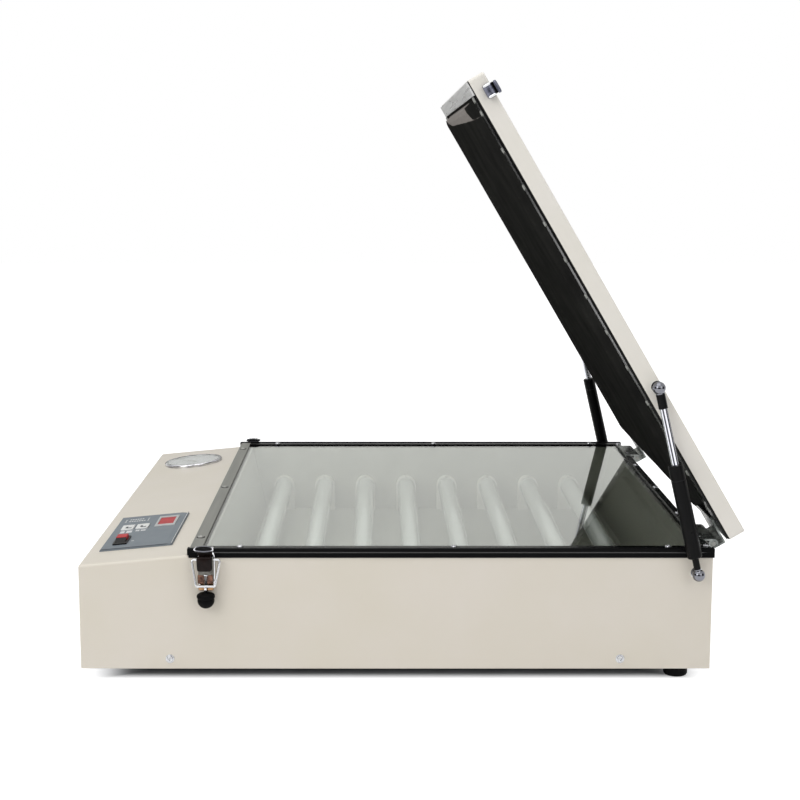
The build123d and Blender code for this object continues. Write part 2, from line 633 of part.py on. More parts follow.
def side_bar():
    """Black angle bar over the side edge of the glass; the left one has the suction slot."""
    y0 = FRAME_FRONT_Y + FRONT_STRIP_W
    y1 = REAR_Y - REAR_STRIP_W
    bar = block(BAR_OUT_X - SIDE_BAR_W, BAR_OUT_X, y0, y1, GLASS_TOP_Z, FRAME_TOP_Z)
    bar += block(BAR_OUT_X - BAR_T, BAR_OUT_X, y0, y1, DECK_Z, GLASS_TOP_Z)
    return bar


def side_bars():
    right, left = both_sides(side_bar())
    slot_x, slot_y = PORT_SLOT
    left -= block(PORT_MID_X - slot_x / 2, PORT_MID_X + slot_x / 2,
                  PORT_Y - slot_y / 2, PORT_Y + slot_y / 2, GLASS_LOW_Z, FRAME_TOP_Z + 1)
    return [right, left]


def edge_trim():
    """Rubber edging along the side of the frame, with rounded ends turned round its corners."""
    y0, y1 = FRAME_FRONT_Y - TRIM_END, REAR_Y + TRIM_END
    top = FRAME_TOP_Z + TRIM_LIP_T
    trim = block(BAR_OUT_X, TRIM_OUT_X, FRAME_FRONT_Y, REAR_Y, DECK_Z, top)
    trim += block(TRIM_OUT_X - TRIM_LIP_W, TRIM_OUT_X, FRAME_FRONT_Y, REAR_Y, FRAME_TOP_Z, top)
    front_low = CONTROL_REAR_Z + LOOSE
    front = block(TRIM_OUT_X - TRIM_RETURN, TRIM_OUT_X, y0, FRAME_FRONT_Y, front_low, top)
    rear = block(TRIM_OUT_X - TRIM_RETURN, TRIM_OUT_X, REAR_Y, y1, DECK_Z, top)
    front = fillet(upright_edges(front).group_by(Axis.Y)[0], TRIM_END * 0.7)
    rear = fillet(upright_edges(rear).group_by(Axis.Y)[-1], TRIM_END * 0.7)
    trim += front + rear
    outer_edge = trim.edges().filter_by(Axis.Y).group_by(Axis.Z)[-1].sort_by(Axis.X)[-1]
    return fillet(outer_edge, TRIM_ROUND)


def frame_screws():
    """Screws of the glass frame, and the base leaves' screws, flush in the leaves."""
    head = dome_head(FRAME_SCREW_R, FRAME_SCREW_H)
    strip_y = FRAME_FRONT_Y + FRONT_STRIP_W / 2
    front_x = HALF_W - FRONT_STRIP_SCREW_INSET
    pieces = [Pos(x, strip_y, FRAME_TOP_Z) * head for x in spread(front_x, 3)]
    rear_y = REAR_Y - REAR_STRIP_W / 2
    rear_x = HALF_W - REAR_STRIP_SCREW_INSET
    pieces += [Pos(x, rear_y, FRAME_TOP_Z) * head
               for x in spread(rear_x, 2) + spread(REAR_STRIP_SCREW_X, 3)]
    bar_x = BAR_OUT_X - SIDE_BAR_W + FRAME_SCREW_R + 1
    first, last = FRAME_FRONT_Y + SIDE_BAR_SCREW_INSETS[0], REAR_Y - SIDE_BAR_SCREW_INSETS[1]
    for y in (first, (first + last) / 2, last):
        pieces += both_sides(Pos(bar_x, y, FRAME_TOP_Z) * head)
    for x in LEAF_SCREWS:
        pieces += both_sides(rod_z(LEAF_SCREW_R, HINGE_X + x, rear_y, FRAME_TOP_Z,
                                   FRAME_TOP_Z + LEAF_T))
    return pieces


# ---- controls --------------------------------------------------------------------------------
def key_hole(at, size, grow, low, high):
    x, up = at
    return block(x - size[0] / 2 - grow, x + size[0] / 2 + grow,
                 up - size[1] / 2 - grow, up + size[1] / 2 + grow, low, high)


def control_plate():
    """Moulded panel plate on the slope, with posts for the timer board."""
    x0, x1 = PLATE_X - PLATE_W / 2, PLATE_X + PLATE_W / 2
    y0, y1 = PLATE_UP - PLATE_D / 2, PLATE_UP + PLATE_D / 2
    run, fall = PLATE_REAR_BEVEL
    plate = block(x0, x1, y0, y1, 0, PLATE_T)
    plate = chamfer(plate.edges().group_by(Axis.Z)[-1].sort_by(Axis.Y)[:-1], PLATE_BEVEL)
    plate -= prism_x([(y1 - run, PLATE_T), (y1 + run, PLATE_T - 2 * fall), (y1 + run, PLATE_T + fall)],
                     x0 - run, x1 + run)
    for x in (BOARD_X[0] + BOARD_POST_INSET, BOARD_X[1] - BOARD_POST_INSET):
        for y in (BOARD_Y[0] + BOARD_POST_INSET, BOARD_Y[1] - BOARD_POST_INSET):
            plate += rod_z(BOARD_POST_R, x, y, -BOARD_DROP, 0)
    for at in (TIMER_KEY, START_KEY):
        plate -= key_hole(at, BUTTON_SIZE, LOOSE, -1, PLATE_T + 1)
    plate -= key_hole(ROCKER_AT, ROCKER_FRAME, -ROCKER_LEDGE, -1, PLATE_T + 1)
    return ON_SLOPE * plate


def display_bezel():
    wide, deep, high = BEZEL_SIZE
    bezel = key_hole(DISPLAY_AT, (wide, deep), 0, PLATE_T, PLATE_T + high)
    bezel = fillet(bezel.edges().group_by(Axis.Z)[-1], 0.5)
    return ON_SLOPE * (bezel - key_hole(DISPLAY_AT, WINDOW_SIZE, SEAT, PLATE_T - 1, PLATE_T + high + 1))


def display_window():
    return ON_SLOPE * key_hole(DISPLAY_AT, WINDOW_SIZE, 0, PLATE_T, PLATE_T + WINDOW_SIZE[2])


def key_button(at):
    """Push key: a cap in the plate's hole with a shoulder under the plate."""
    cap = key_hole(at, BUTTON_SIZE, 0, -BUTTON_DEPTH, PLATE_T + BUTTON_PROUD)
    cap = fillet(upright_edges(cap), BUTTON_R)
    cap = fillet(cap.edges().group_by(Axis.Z)[-1], 0.6)
    return ON_SLOPE * cap


def rocker_frame():
    """Switch body and frame, snapped in the plate and open at the top for the rocker."""
    wide, deep, high = ROCKER_FRAME
    frame = key_hole(ROCKER_AT, (wide, deep), 0, PLATE_T, PLATE_T + high)
    frame = fillet(upright_edges(frame), BUTTON_R)
    body_low = PLATE_T - ROCKER_BODY_H
    frame += key_hole(ROCKER_AT, (wide, deep), -ROCKER_LEDGE - SEAT, body_low, PLATE_T)
    frame -= key_hole(ROCKER_AT, ROCKER_SIZE, ROCKER_PLAY, body_low + ROCKER_FLOOR, PLATE_T + 2 * high)
    x, up = ROCKER_AT
    pin_half = deep / 2 - ROCKER_LEDGE - SEAT
    frame += rod_y(ROCKER_PIN_R, x, up - pin_half, up + pin_half, PLATE_T - ROCKER_PIN_DROP)
    return ON_SLOPE * frame


def rocker_switch():
    """Rocker of two halves that slope down from the middle, pressed at its near end."""
    x, up = ROCKER_AT
    wide, deep = ROCKER_SIZE
    pivot_z = PLATE_T - ROCKER_PIN_DROP
    crest = PLATE_T + ROCKER_CREST
    end = crest - wide / 2 * tan(radians(ROCKER_TILT))
    hub_low = pivot_z - ROCKER_HUB
    outline = [(-wide / 2, end), (0, crest), (wide / 2, end), (wide / 2, end - ROCKER_LIP),
               (ROCKER_HUB, hub_low), (-ROCKER_HUB, hub_low), (-wide / 2, end - ROCKER_LIP)]
    cap = Pos(x, 0, 0) * prism_y(outline, up - deep / 2, up + deep / 2)
    cap = Pos(x, up, pivot_z) * Rot(0, ROCKER_TILT, 0) * Pos(-x, -up, -pivot_z) * cap
    cap &= rod_y(wide / 2 + LOOSE, x, up - deep, up + deep, pivot_z)
    cap -= rod_y(ROCKER_PIN_R + RUN, x, up - deep, up + deep, pivot_z)
    return ON_SLOPE * cap


def timer_board():
    """Circuit board under the plate, with the display, relay and terminals on it."""
    top = -BOARD_DROP
    board = block(*BOARD_X, *BOARD_Y, top - BOARD_T, top)
    for across, up, w, d, h in BOARD_PARTS:
        x, y = PLATE_X + across, PLATE_UP + up
        board += block(x - w / 2, x + w / 2, y - d / 2, y + d / 2, top - BOARD_T / 2, top + h)
    half, drop = TERMINAL_W / 2, TERMINAL_H
    for n in range(TERMINAL_COUNT):
        x = PLATE_X + TERMINAL_FIRST + n * TERMINAL_PITCH
        board += block(x - half, x + half, PLATE_UP - half, PLATE_UP + half,
                       top - BOARD_T - drop, top - BOARD_T / 2)
    return ON_SLOPE * board


# ---- vacuum gauge ----------------------------------------------------------------------------
def gauge_case():
    """Flanged gauge case let into the slope, with a hose tee under it."""
    at = Pos(GAUGE_X, GAUGE_UP, 0)
    flange = Pos(0, 0, GAUGE_FLANGE_H / 2) * Cylinder(GAUGE_FLANGE_R, GAUGE_FLANGE_H)
    flange = fillet(flange.edges().group_by(Axis.Z)[-1], GAUGE_FLANGE_ROUND)
    case = flange + rod_z(GAUGE_BODY_R, 0, 0, -GAUGE_BODY_H, 0)
    case -= rod_z(GAUGE_FACE_R, 0, 0, DIAL_FLOOR, GAUGE_FLANGE_H + 1)
    case -= rod_z(SPINDLE_R + RUN, 0, 0, DIAL_FLOOR - SPINDLE_L - 1, DIAL_FLOOR + 1)
    stem_low = -GAUGE_BODY_H - 12
    case += rod_z(5.0, 0, 0, stem_low, -GAUGE_BODY_H + 1)
    case += rod_x(BARB_R, -5 - BARB_L, 5 + BARB_L, 0, stem_low + 5)
    return ON_SLOPE * at * case


def gauge_dial():
    dial = rod_z(GAUGE_FACE_R - SEAT, 0, 0, DIAL_FLOOR, DIAL_FLOOR + DIAL_T)
    dial -= rod_z(SPINDLE_R + 1, 0, 0, 0, GAUGE_FLANGE_H)
    return ON_SLOPE * Pos(GAUGE_X, GAUGE_UP, 0) * dial


def gauge_pointer():
    """Needle on its spindle, lying at the resting end of the scale."""
    low = DIAL_FLOOR + DIAL_T + 0.2
    high = low + 0.4
    needle = make_face(Polyline((-POINTER_W, -POINTER_TAIL), (POINTER_W, -POINTER_TAIL),
                                (POINTER_W / 2, 0), (0.2, POINTER_L), (-0.2, POINTER_L),
                                (-POINTER_W / 2, 0), close=True))
    needle = Pos(0, 0, low) * extrude(needle, amount=high - low)
    needle = Rot(0, 0, POINTER_REST) * needle
    needle += rod_z(SPINDLE_R, 0, 0, DIAL_FLOOR - SPINDLE_L, high)
    needle += rod_z(2.4, 0, 0, low, high)
    return ON_SLOPE * Pos(GAUGE_X, GAUGE_UP, 0) * needle


def gauge_lens():
    high = GAUGE_FLANGE_H - 0.3
    lens = rod_z(GAUGE_FACE_R - SEAT, 0, 0, high - LENS_T, high)
    return ON_SLOPE * Pos(GAUGE_X, GAUGE_UP, 0) * lens


# ---- vacuum pump and hose --------------------------------------------------------------------
def vacuum_pump():
    """Diaphragm pump on its foot plate: motor, head and two hose barbs."""
    x0, x1 = PUMP_X, PUMP_X + PUMP_L
    floor = FOOT_H + SHEET
    motor = rod_x(PUMP_R, x0, x1, PUMP_Y, PUMP_Z)
    half = PUMP_HEAD / 2
    head = block(x0 - PUMP_HEAD_T, x0, PUMP_Y - half, PUMP_Y + half, PUMP_Z - half, PUMP_Z + half)
    head = fillet(head.edges().filter_by(Axis.X), 6.0)
    plate = block(x0 - PUMP_HEAD_T, x1, PUMP_Y - half, PUMP_Y + half, floor, floor + PUMP_PLATE_T)
    saddle = block(x0, x1 - 8, PUMP_Y - half / 2, PUMP_Y + half / 2, floor, PUMP_Z - PUMP_R / 2)
    pump = motor + head + plate + saddle
    barb_x = x0 - PUMP_HEAD_T / 2
    pump += rod_z(BARB_R, barb_x, PUMP_Y, PUMP_Z + half - 1, PUMP_Z + half + BARB_L)
    return pump


def slope_point(x, up, out):
    """A point given on the slope, in the unit's own axes."""
    return (ON_SLOPE * Pos(x, up, out)).position


def hose(points, bend):
    """Hose of straight runs joined by arcs; its hollow ends go over the barbs."""
    path = FilletPolyline(*points, radius=bend)
    start = Plane(origin=path @ 0, z_dir=path % 0)
    return sweep(start * Circle(HOSE_R), path=path)


def vacuum_hose():
    """Two lengths: pump to the gauge's tee, and tee to the suction port at the glass."""
    tee = slope_point(GAUGE_X, GAUGE_UP, -GAUGE_BODY_H - 7)
    stub = 5 + LOOSE
    end = stub + BARB_L
    barb_x = PUMP_X - PUMP_HEAD_T / 2
    pump_top = PUMP_Z + PUMP_HEAD / 2
    first = hose([(barb_x, PUMP_Y, pump_top + LOOSE), (barb_x, PUMP_Y, tee.Z),
                  (tee.X + stub, tee.Y, tee.Z)], HOSE_BEND)
    first -= rod_z(BARB_R + RUN, barb_x, PUMP_Y, pump_top, pump_top + BARB_L + LOOSE)
    first -= rod_x(BARB_R + RUN, tee.X, tee.X + end, tee.Y, tee.Z)
    lane_x = PORT_MID_X + PORT_SHIFT
    second = hose([(tee.X - stub, tee.Y, tee.Z), (lane_x, tee.Y, tee.Z), (lane_x, PORT_Y, tee.Z),
                   (lane_x, PORT_Y, PORT_BARB_Z)], HOSE_BEND)
    second -= rod_x(BARB_R + RUN, tee.X - end, tee.X, tee.Y, tee.Z)
    second -= rod_z(BARB_R + RUN, lane_x, PORT_Y, PORT_BARB_Z - BARB_L - LOOSE, PORT_BARB_Z + 1)
    return [first, second]


def vacuum_port():
    """Suction port under the deck: flat nozzle up beside the glass, hose barb below."""
    slot_x, slot_y = PORT_SLOT
    lane_x = PORT_MID_X + PORT_SHIFT
    under = DECK_Z - SHEET
    body = block(PORT_MID_X - slot_x / 2, lane_x + HOSE_R, PORT_Y - slot_y / 2, PORT_Y + slot_y / 2,
                 under - PORT_BODY_H, under)
    nozzle = block(PORT_MID_X - slot_x / 2, PORT_MID_X + slot_x / 2,
                   PORT_Y - slot_y / 2, PORT_Y + slot_y / 2, under - 1, GLASS_TOP_Z - LOOSE)
    barb = rod_z(BARB_R, lane_x, PORT_Y, under - PORT_BODY_H - BARB_L, under - PORT_BODY_H + 1)
    return body + nozzle + barb


# ---- hinges ----------------------------------------------------------------------------------
def knuckle_span(n):
    step = HINGE_W / KNUCKLES
    x0 = HINGE_X - HINGE_W / 2 + n * step
    return x0 + LOOSE / 2, x0 + step - LOOSE / 2


def knuckles(which, radius, grow):
    """Barrel segments round the pin; grow widens them, as a clearance for the other leaf."""
    barrel = None
    for n in which:
        x0, x1 = knuckle_span(n)
        segment = rod_x(radius, x0 - grow, x1 + grow, HINGE_Y, HINGE_Z)
        barrel = segment if barrel is None else barrel + segment
    return barrel


def hinge_base_leaf():
    x0, x1 = HINGE_X - HINGE_W / 2, HINGE_X + HINGE_W / 2
    leaf = block(x0, x1, REAR_Y - REAR_STRIP_W, HINGE_Y, FRAME_TOP_Z, FRAME_TOP_Z + LEAF_T)
    leaf = fillet(upright_edges(leaf).group_by(Axis.Y)[0], LEAF_CORNER_R / 2)
    leaf += knuckles(BASE_KNUCKLES, KNUCKLE_R, 0)
    leaf -= knuckles(LID_KNUCKLES, KNUCKLE_R + LOOSE, LOOSE / 2)
    leaf -= rod_x(HINGE_PIN_R + RUN, x0 - 1, x1 + 1, HINGE_Y, HINGE_Z)
    for x in LEAF_SCREWS:
        leaf -= rod_z(LEAF_SCREW_R + SEAT / 2, HINGE_X + x, REAR_Y - REAR_STRIP_W / 2,
                      FRAME_TOP_Z - 1, FRAME_TOP_Z + LEAF_T + 1)
    return leaf


def hinge_lid_leaf():
    """Leaf under the lid's rear edge, cranked down behind the pin (drawn closed)."""
    x0, x1 = HINGE_X - HINGE_W / 2, HINGE_X + HINGE_W / 2
    back = HINGE_Y + KNUCKLE_R
    top = CLAMP_LOW_Z
    front = LID_REAR_Y - CLAMP_REAR_W
    leaf = block(x0, x1, front, back, top - LEAF_T, top)
    leaf = fillet(upright_edges(leaf).group_by(Axis.Y)[0], LEAF_CORNER_R)
    leaf += block(x0, x1, back - LEAF_T, back, HINGE_Z, top)
    leaf -= knuckles(BASE_KNUCKLES, KNUCKLE_R + LOOSE, LOOSE / 2)
    leaf += knuckles(LID_KNUCKLES, KNUCKLE_R, 0)
    leaf -= rod_x(HINGE_PIN_R + RUN, x0 - 1, x1 + 1, HINGE_Y, HINGE_Z)
    for x in LEAF_SCREWS:
        leaf -= rod_z(LEAF_SCREW_R + SEAT / 2, HINGE_X + x, front + CLAMP_REAR_W / 2,
                      top - LEAF_T - 1, top + 1)
    return leaf


def hinge_pin():
    return rod_x(HINGE_PIN_R, HINGE_X - HINGE_W / 2, HINGE_X + HINGE_W / 2, HINGE_Y, HINGE_Z)


# ---- lid, drawn closed -----------------------------------------------------------------------
def lid_shell():
    """Folded cover with an inward lip round its open underside."""
    outer = block(-HALF_W, HALF_W, LID_FRONT_Y, LID_REAR_Y, LID_LOW_Z, LID_TOP_Z)
    outer = fillet(upright_edges(outer), LID_R)
    outer = fillet(outer.edges().group_by(Axis.Z)[-1], LID_R - 1)
    t = LID_SHEET
    shell = outer - block(-HALF_W + t, HALF_W - t, LID_FRONT_Y + t, LID_REAR_Y - t,
                          LID_LOW_Z + t, LID_TOP_Z - t)
    return shell - block(-HALF_W + LID_LIP, HALF_W - LID_LIP, LID_FRONT_Y + LID_LIP,
                         LID_REAR_Y - LID_LIP, LID_LOW_Z - 1, LID_LOW_Z + 2 * t)


def rubber_blanket():
    """Blanket sheet clamped round the lid, with its raised pad in the middle."""
    x_out = HALF_W - BLANKET_INSET
    sheet = block(-x_out, x_out, LID_FRONT_Y + BLANKET_INSET, LID_REAR_Y - BLANKET_INSET,
                  BLANKET_LOW_Z, LID_LOW_Z)
    front, rear = LID_FRONT_Y + PILLOW_FRONT, LID_REAR_Y - PILLOW_REAR
    low = LID_LOW_Z - PILLOW_H
    run, rise = PILLOW_BEVEL
    rear_run, rear_rise = PILLOW_REAR_BEVEL
    x_pad = HALF_W - PILLOW_SIDE
    pad = prism_x([(front, BLANKET_LOW_Z), (front, low + rise), (front + run, low),
                   (rear - rear_run, low), (rear, low + rear_rise), (rear, BLANKET_LOW_Z)],
                  -x_pad, x_pad)
    side_edges = pad.edges().filter_by(Axis.Y).group_by(Axis.Z)[0]
    return sheet + chamfer(side_edges, PILLOW_EDGE)


def lid_front_strip():
    """Bright clamp strip across the lid's front edge."""
    strip = block(-HALF_W + LID_STRIP_SET, HALF_W - LID_STRIP_SET, LID_FRONT_Y + LID_STRIP_SET,
                  LID_STRIP_REAR_Y, CLAMP_LOW_Z, BLANKET_LOW_Z)
    return chamfer(strip.edges().group_by(Axis.Z)[0], 0.4)


def blanket_clamp():
    """Flat steel clamp round the blanket's sides and rear."""
    x_out = HALF_W - CLAMP_SET
    y0 = LID_STRIP_REAR_Y + LOOSE
    y1 = LID_REAR_Y - CLAMP_SET
    clamp = block(-x_out, x_out, y0, y1, CLAMP_LOW_Z, BLANKET_LOW_Z)
    return clamp - block(-x_out + CLAMP_W, x_out - CLAMP_W, y0 - 1, LID_REAR_Y - CLAMP_REAR_W,
                         CLAMP_LOW_Z - 1, BLANKET_LOW_Z + 1)


def lid_screws():
    """Pan-head screws of the clamp, and the lid leaves' screws, flush in the leaves."""
    head = Rot(180, 0, 0) * dome_head(LID_SCREW_R, LID_SCREW_H)
    first = LID_STRIP_REAR_Y + LID_SCREW_FRONT
    pitch = (LID_REAR_Y - LID_SCREW_REAR - first) / (LID_SCREW_COUNT - 1)
    side_y = [first - LID_CORNER_SCREW] + [first + n * pitch for n in range(LID_SCREW_COUNT)]
    pieces = []
    for y in side_y:
        pieces += both_sides(Pos(HALF_W - LID_SCREW_EDGE, y, CLAMP_LOW_Z) * head)
    rear_y = LID_REAR_Y - CLAMP_REAR_W / 2
    rear_x = LID_REAR_SCREW_PITCH * (LID_REAR_SCREW_COUNT - 1) / 2
    pieces += [Pos(x, rear_y, CLAMP_LOW_Z) * head for x in spread(rear_x, LID_REAR_SCREW_COUNT)]
    for x in LEAF_SCREWS:
        pieces += both_sides(rod_z(LEAF_SCREW_R, HINGE_X + x, rear_y, CLAMP_LOW_Z - LEAF_T,
                                   CLAMP_LOW_Z))
    return pieces


def latch_keeper():
    """Keeper on the lid's side: a small bracket with a turned-out hook along its top."""
    z0 = LID_LOW_Z + KEEPER_UP
    z1 = z0 + KEEPER_BOX_H
    hook_top = z0 + KEEPER_HOOK_H
    y0, y1 = KEEPER_Y - KEEPER_W / 2, KEEPER_Y + KEEPER_W / 2
    x_out = HALF_W + KEEPER_OUT
    t = KEEPER_T
    keeper = block(HALF_W, x_out, y0, y1, z0, z1)
    keeper -= block(HALF_W + t, x_out - t, y0 + t, y1 - t, z0 - 1, z1 - t)
    stem = x_out - KEEPER_HOOK_OUT
    keeper += block(stem - t, stem, y0, y1, z1 - t, hook_top)
    keeper += block(stem - t, x_out, y0, y1, hook_top - t, hook_top)
    return fillet(keeper.edges().filter_by(Axis.Y).group_by(Axis.Z)[-1], 0.6)


# ---- gas struts ------------------------------------------------------------------------------
BASE_STUD_Y = REAR_Y - BASE_STUD_FROM_REAR
BASE_STUD_Z = DECK_Z - BASE_STUD_DOWN
LID_STUD_CLOSED = (LID_REAR_Y - LID_STUD_FROM_REAR, LID_LOW_Z + LID_STUD_UP)
LID_STUD_REST = (SWING_OPEN * Pos(0, *LID_STUD_CLOSED)).position
STRUT_DY = LID_STUD_REST.Y - BASE_STUD_Y
STRUT_DZ = LID_STUD_REST.Z - BASE_STUD_Z
STRUT_L = hypot(STRUT_DY, STRUT_DZ)
STRUT_TILT = degrees(atan2(-STRUT_DY, STRUT_DZ))
ALONG_STRUT = Pos(STRUT_X, BASE_STUD_Y, BASE_STUD_Z) * Rot(STRUT_TILT, 0, 0)


def base_stud():
    flange_r, flange_t = STUD_FLANGE
    stud = rod_x(flange_r, HALF_W, HALF_W + flange_t, BASE_STUD_Y, BASE_STUD_Z)
    return stud + rod_x(STUD_R, HALF_W, STRUT_X + STUD_TIP, BASE_STUD_Y, BASE_STUD_Z)


def lid_stud():
    """Stud on the lid's side, drawn closed."""
    y, z = LID_STUD_CLOSED
    flange_r, flange_t = STUD_FLANGE
    stud = rod_x(min(flange_r, LID_STUD_UP / 2), HALF_W, HALF_W + flange_t, y, z)
    return stud + rod_x(LID_STUD_R, HALF_W, STRUT_X + CUP_DEPTH - LOOSE, y, z)


def strut_cylinder():
    """Ball end, neck and pressure tube, bored for the rod; drawn up the Z axis."""
    end = CYL_START + CYL_L
    body = Sphere(LOWER_BALL_R) + rod_z(NECK_R, 0, 0, LOWER_BALL_R / 2, CYL_START + 1)
    tube = rod_z(CYL_R, 0, 0, CYL_START, end)
    tube = fillet(tube.edges().group_by(Axis.Z)[0], 2.0)
    body += fillet(tube.edges().group_by(Axis.Z)[-1], 1.2)
    groove = end - CAP_GROOVE
    body -= rod_z(CYL_R + 1, 0, 0, groove - 0.5, groove + 0.5) - rod_z(CYL_R - 0.5, 0, 0, groove - 1,
                                                                    groove + 1)
    body -= rod_z(CYL_R - CYL_WALL, 0, 0, CYL_START + CYL_END_T, end - CYL_END_T)
    body -= rod_z(ROD_R + RUN, 0, 0, CYL_START + CYL_END_T, end + 1)
    body -= rod_x(STUD_R + RUN, -LOWER_BALL_R - 1, STUD_TIP + LOOSE, 0, 0)
    return ALONG_STRUT * body


def strut_rod():
    """Piston, rod, end fitting and the roomy ball cup at the lid's stud."""
    fitting = STRUT_L - ROD_END
    body = rod_z(ROD_R, 0, 0, PISTON_AT, fitting + 1)
    body += rod_z(CYL_R - CYL_WALL - LOOSE, 0, 0, PISTON_AT, PISTON_AT + PISTON_T)
    body += rod_z(ROD_FITTING_R, 0, 0, fitting, STRUT_L - UPPER_BALL_R * 0.6)
    body += Pos(0, 0, STRUT_L) * Sphere(UPPER_BALL_R)
    body -= rod_x(CUP_R, -2 * UPPER_BALL_R, CUP_DEPTH, 0, STRUT_L)
    return ALONG_STRUT * body


# ---- latches ---------------------------------------------------------------------------------
PIVOT_X = HALF_W + LATCH_PIVOT_OUT
PIVOT_Z = DECK_Z - LATCH_PIVOT_DOWN
WEB_OUT_X = PIVOT_X + LEVER_DEPTH - 4
LATCH_BACK_X = TRIM_OUT_X + SEAT


def latch_base():
    """Back plate on the side panel with two ears for the bail's ends and a flared guide lip."""
    half = LATCH_PLATE_W / 2
    plate_top = PIVOT_Z + 6
    front = LATCH_BACK_X + LATCH_PLATE_T
    plate = block(LATCH_BACK_X, front, LATCH_Y - half, LATCH_Y + half, PIVOT_Z - LATCH_PLATE_H, plate_top)
    foot_pad = block(HALF_W, LATCH_BACK_X, LATCH_Y - half, LATCH_Y + half,
                     PIVOT_Z - LATCH_PLATE_H, PIVOT_Z - LATCH_PLATE_H / 2)
    base = plate + foot_pad
    inner = LEVER_W / 2 + LOOSE
    ear_out, ear_h = LATCH_EAR
    for side in (-1, 1):
        y0, y1 = sorted((LATCH_Y + side * inner, LATCH_Y + side * (inner + LATCH_EAR_T)))
        ear = block(LATCH_BACK_X, LATCH_BACK_X + ear_out, y0, y1, PIVOT_Z - ear_h / 2, PIVOT_Z + ear_h / 2)
        base += ear
    base -= rod_y(BAIL_WIRE_R + RUN, PIVOT_X, LATCH_Y - LIP_W, LATCH_Y + LIP_W, PIVOT_Z)
    lip_low, lip_top = PIVOT_Z + 7, PIVOT_Z + LIP_RISE
    tip = HALF_W + LIP_OUT
    outline = [(LATCH_BACK_X, plate_top - 1), (front, plate_top - 1), (front, lip_low + 0.5),
               (front + 1.5, lip_low + 2), (tip, lip_top - 1.2), (tip, lip_top), (front, lip_low + 3),
               (LATCH_BACK_X, lip_low + 1.5)]
    base += prism_y(outline, LATCH_Y - LIP_W / 2, LATCH_Y + LIP_W / 2)
    return base


def latch_lever():
    """Channel lever with a threaded stem and a rubber knob on its free end."""
    web_in = WEB_OUT_X - LEVER_T
    half = LEVER_W / 2
    tail_z = PIVOT_Z - LEVER_L
    lever = block(web_in, WEB_OUT_X, LATCH_Y - half, LATCH_Y + half, tail_z, PIVOT_Z + LEVER_TOP)
    flange_in = WEB_OUT_X - LEVER_DEPTH
    for side in (-1, 1):
        y0, y1 = sorted((LATCH_Y + side * half, LATCH_Y + side * (half - LEVER_T)))
        lever += block(flange_in, web_in, y0, y1, tail_z, PIVOT_Z)
        lever += rod_y(LEVER_TOP, PIVOT_X, y0, y1, PIVOT_Z)
        lever += block(PIVOT_X, web_in, y0, y1, PIVOT_Z, PIVOT_Z + LEVER_TOP)
    lever -= rod_y(BAIL_WIRE_R + RUN, PIVOT_X, LATCH_Y - LIP_W, LATCH_Y + LIP_W, PIVOT_Z)
    stem_x = PIVOT_X + STEM_OUT
    nut = block(stem_x - 3, web_in, LATCH_Y - half + 0.5, LATCH_Y + half - 0.5, tail_z, tail_z + 4)
    knob = Pos(stem_x, LATCH_Y, PIVOT_Z - KNOB_DOWN) * Sphere(KNOB_R)
    stem = rod_z(STEM_R, stem_x, LATCH_Y, PIVOT_Z - KNOB_DOWN, tail_z + 1)
    return lever + nut + stem + knob


def latch_bail():
    """Wire loop whose turned-in ends are the pivot of the lever in the ears."""
    end_in = LEVER_W / 2 - LEVER_T - 0.6
    out_x, low_z = PIVOT_X + BAIL_OUT, PIVOT_Z - BAIL_DROP
    top, low = BAIL_TOP_W / 2 - BAIL_WIRE_R, BAIL_END_W / 2 - BAIL_WIRE_R
    path = FilletPolyline((PIVOT_X, LATCH_Y - end_in, PIVOT_Z), (PIVOT_X, LATCH_Y - top, PIVOT_Z),
                          (out_x, LATCH_Y - low, low_z), (out_x, LATCH_Y + low, low_z),
                          (PIVOT_X, LATCH_Y + top, PIVOT_Z), (PIVOT_X, LATCH_Y + end_in, PIVOT_Z),
                          radius=2.4)
    start = Plane(origin=path @ 0, z_dir=path % 0)
    return sweep(start * Circle(BAIL_WIRE_R), path=path)


# ---- write the nodes -------------------------------------------------------------------------
os.makedirs("parts", exist_ok=True)
save("base_shell", base_shell())
save("bottom_pan", bottom_pan())
save("rear_panel", rear_panel())
save("feet", *[foot(x, y) for x, y in feet_places()])
save("body_screws", *body_screws())
save("power_inlet", power_inlet())
save("light_box", light_box())
for number, tube_y in enumerate(TUBES_Y, 1):
    save(f"uv_tube_{number}", *uv_tube(tube_y))
save("lampholders", *[piece for y in TUBES_Y for piece in both_sides(lampholder(y))])
ballast_reach = BALLAST_PITCH * (BALLAST_COUNT - 1) / 2
save("ballasts", *[ballast(x) for x in spread(ballast_reach, BALLAST_COUNT)])
save("glass_gasket", glass_gasket())
save("exposure_glass", exposure_glass())
save("front_strip", front_strip())
save("rear_strip", rear_strip())
save("side_bars", *side_bars())
save("edge_trims", *both_sides(edge_trim()))
save("frame_screws", *frame_screws())
save("control_plate", control_plate())
save("display_bezel", display_bezel())
save("display_window", display_window())
save("timer_key", key_button(TIMER_KEY))
save("start_key", key_button(START_KEY))
save("rocker_frame", rocker_frame())
save("rocker_switch", rocker_switch())
save("timer_board", timer_board())
save("gauge_case", gauge_case())
save("gauge_dial", gauge_dial())
save("gauge_pointer", gauge_pointer())
save("gauge_lens", gauge_lens())
save("vacuum_pump", vacuum_pump())
save("vacuum_hose", *vacuum_hose())
save("vacuum_port", vacuum_port())
save("hinge_base_leaves", *both_sides(hinge_base_leaf()))
save("hinge_pins", *both_sides(hinge_pin()))
save("hinge_lid_leaves", *[SWING_OPEN * leaf for leaf in both_sides(hinge_lid_leaf())])
save("lid_shell", SWING_OPEN * lid_shell())
save("rubber_blanket", SWING_OPEN * rubber_blanket())
save("lid_front_strip", SWING_OPEN * lid_front_strip())
save("blanket_clamp", SWING_OPEN * blanket_clamp())
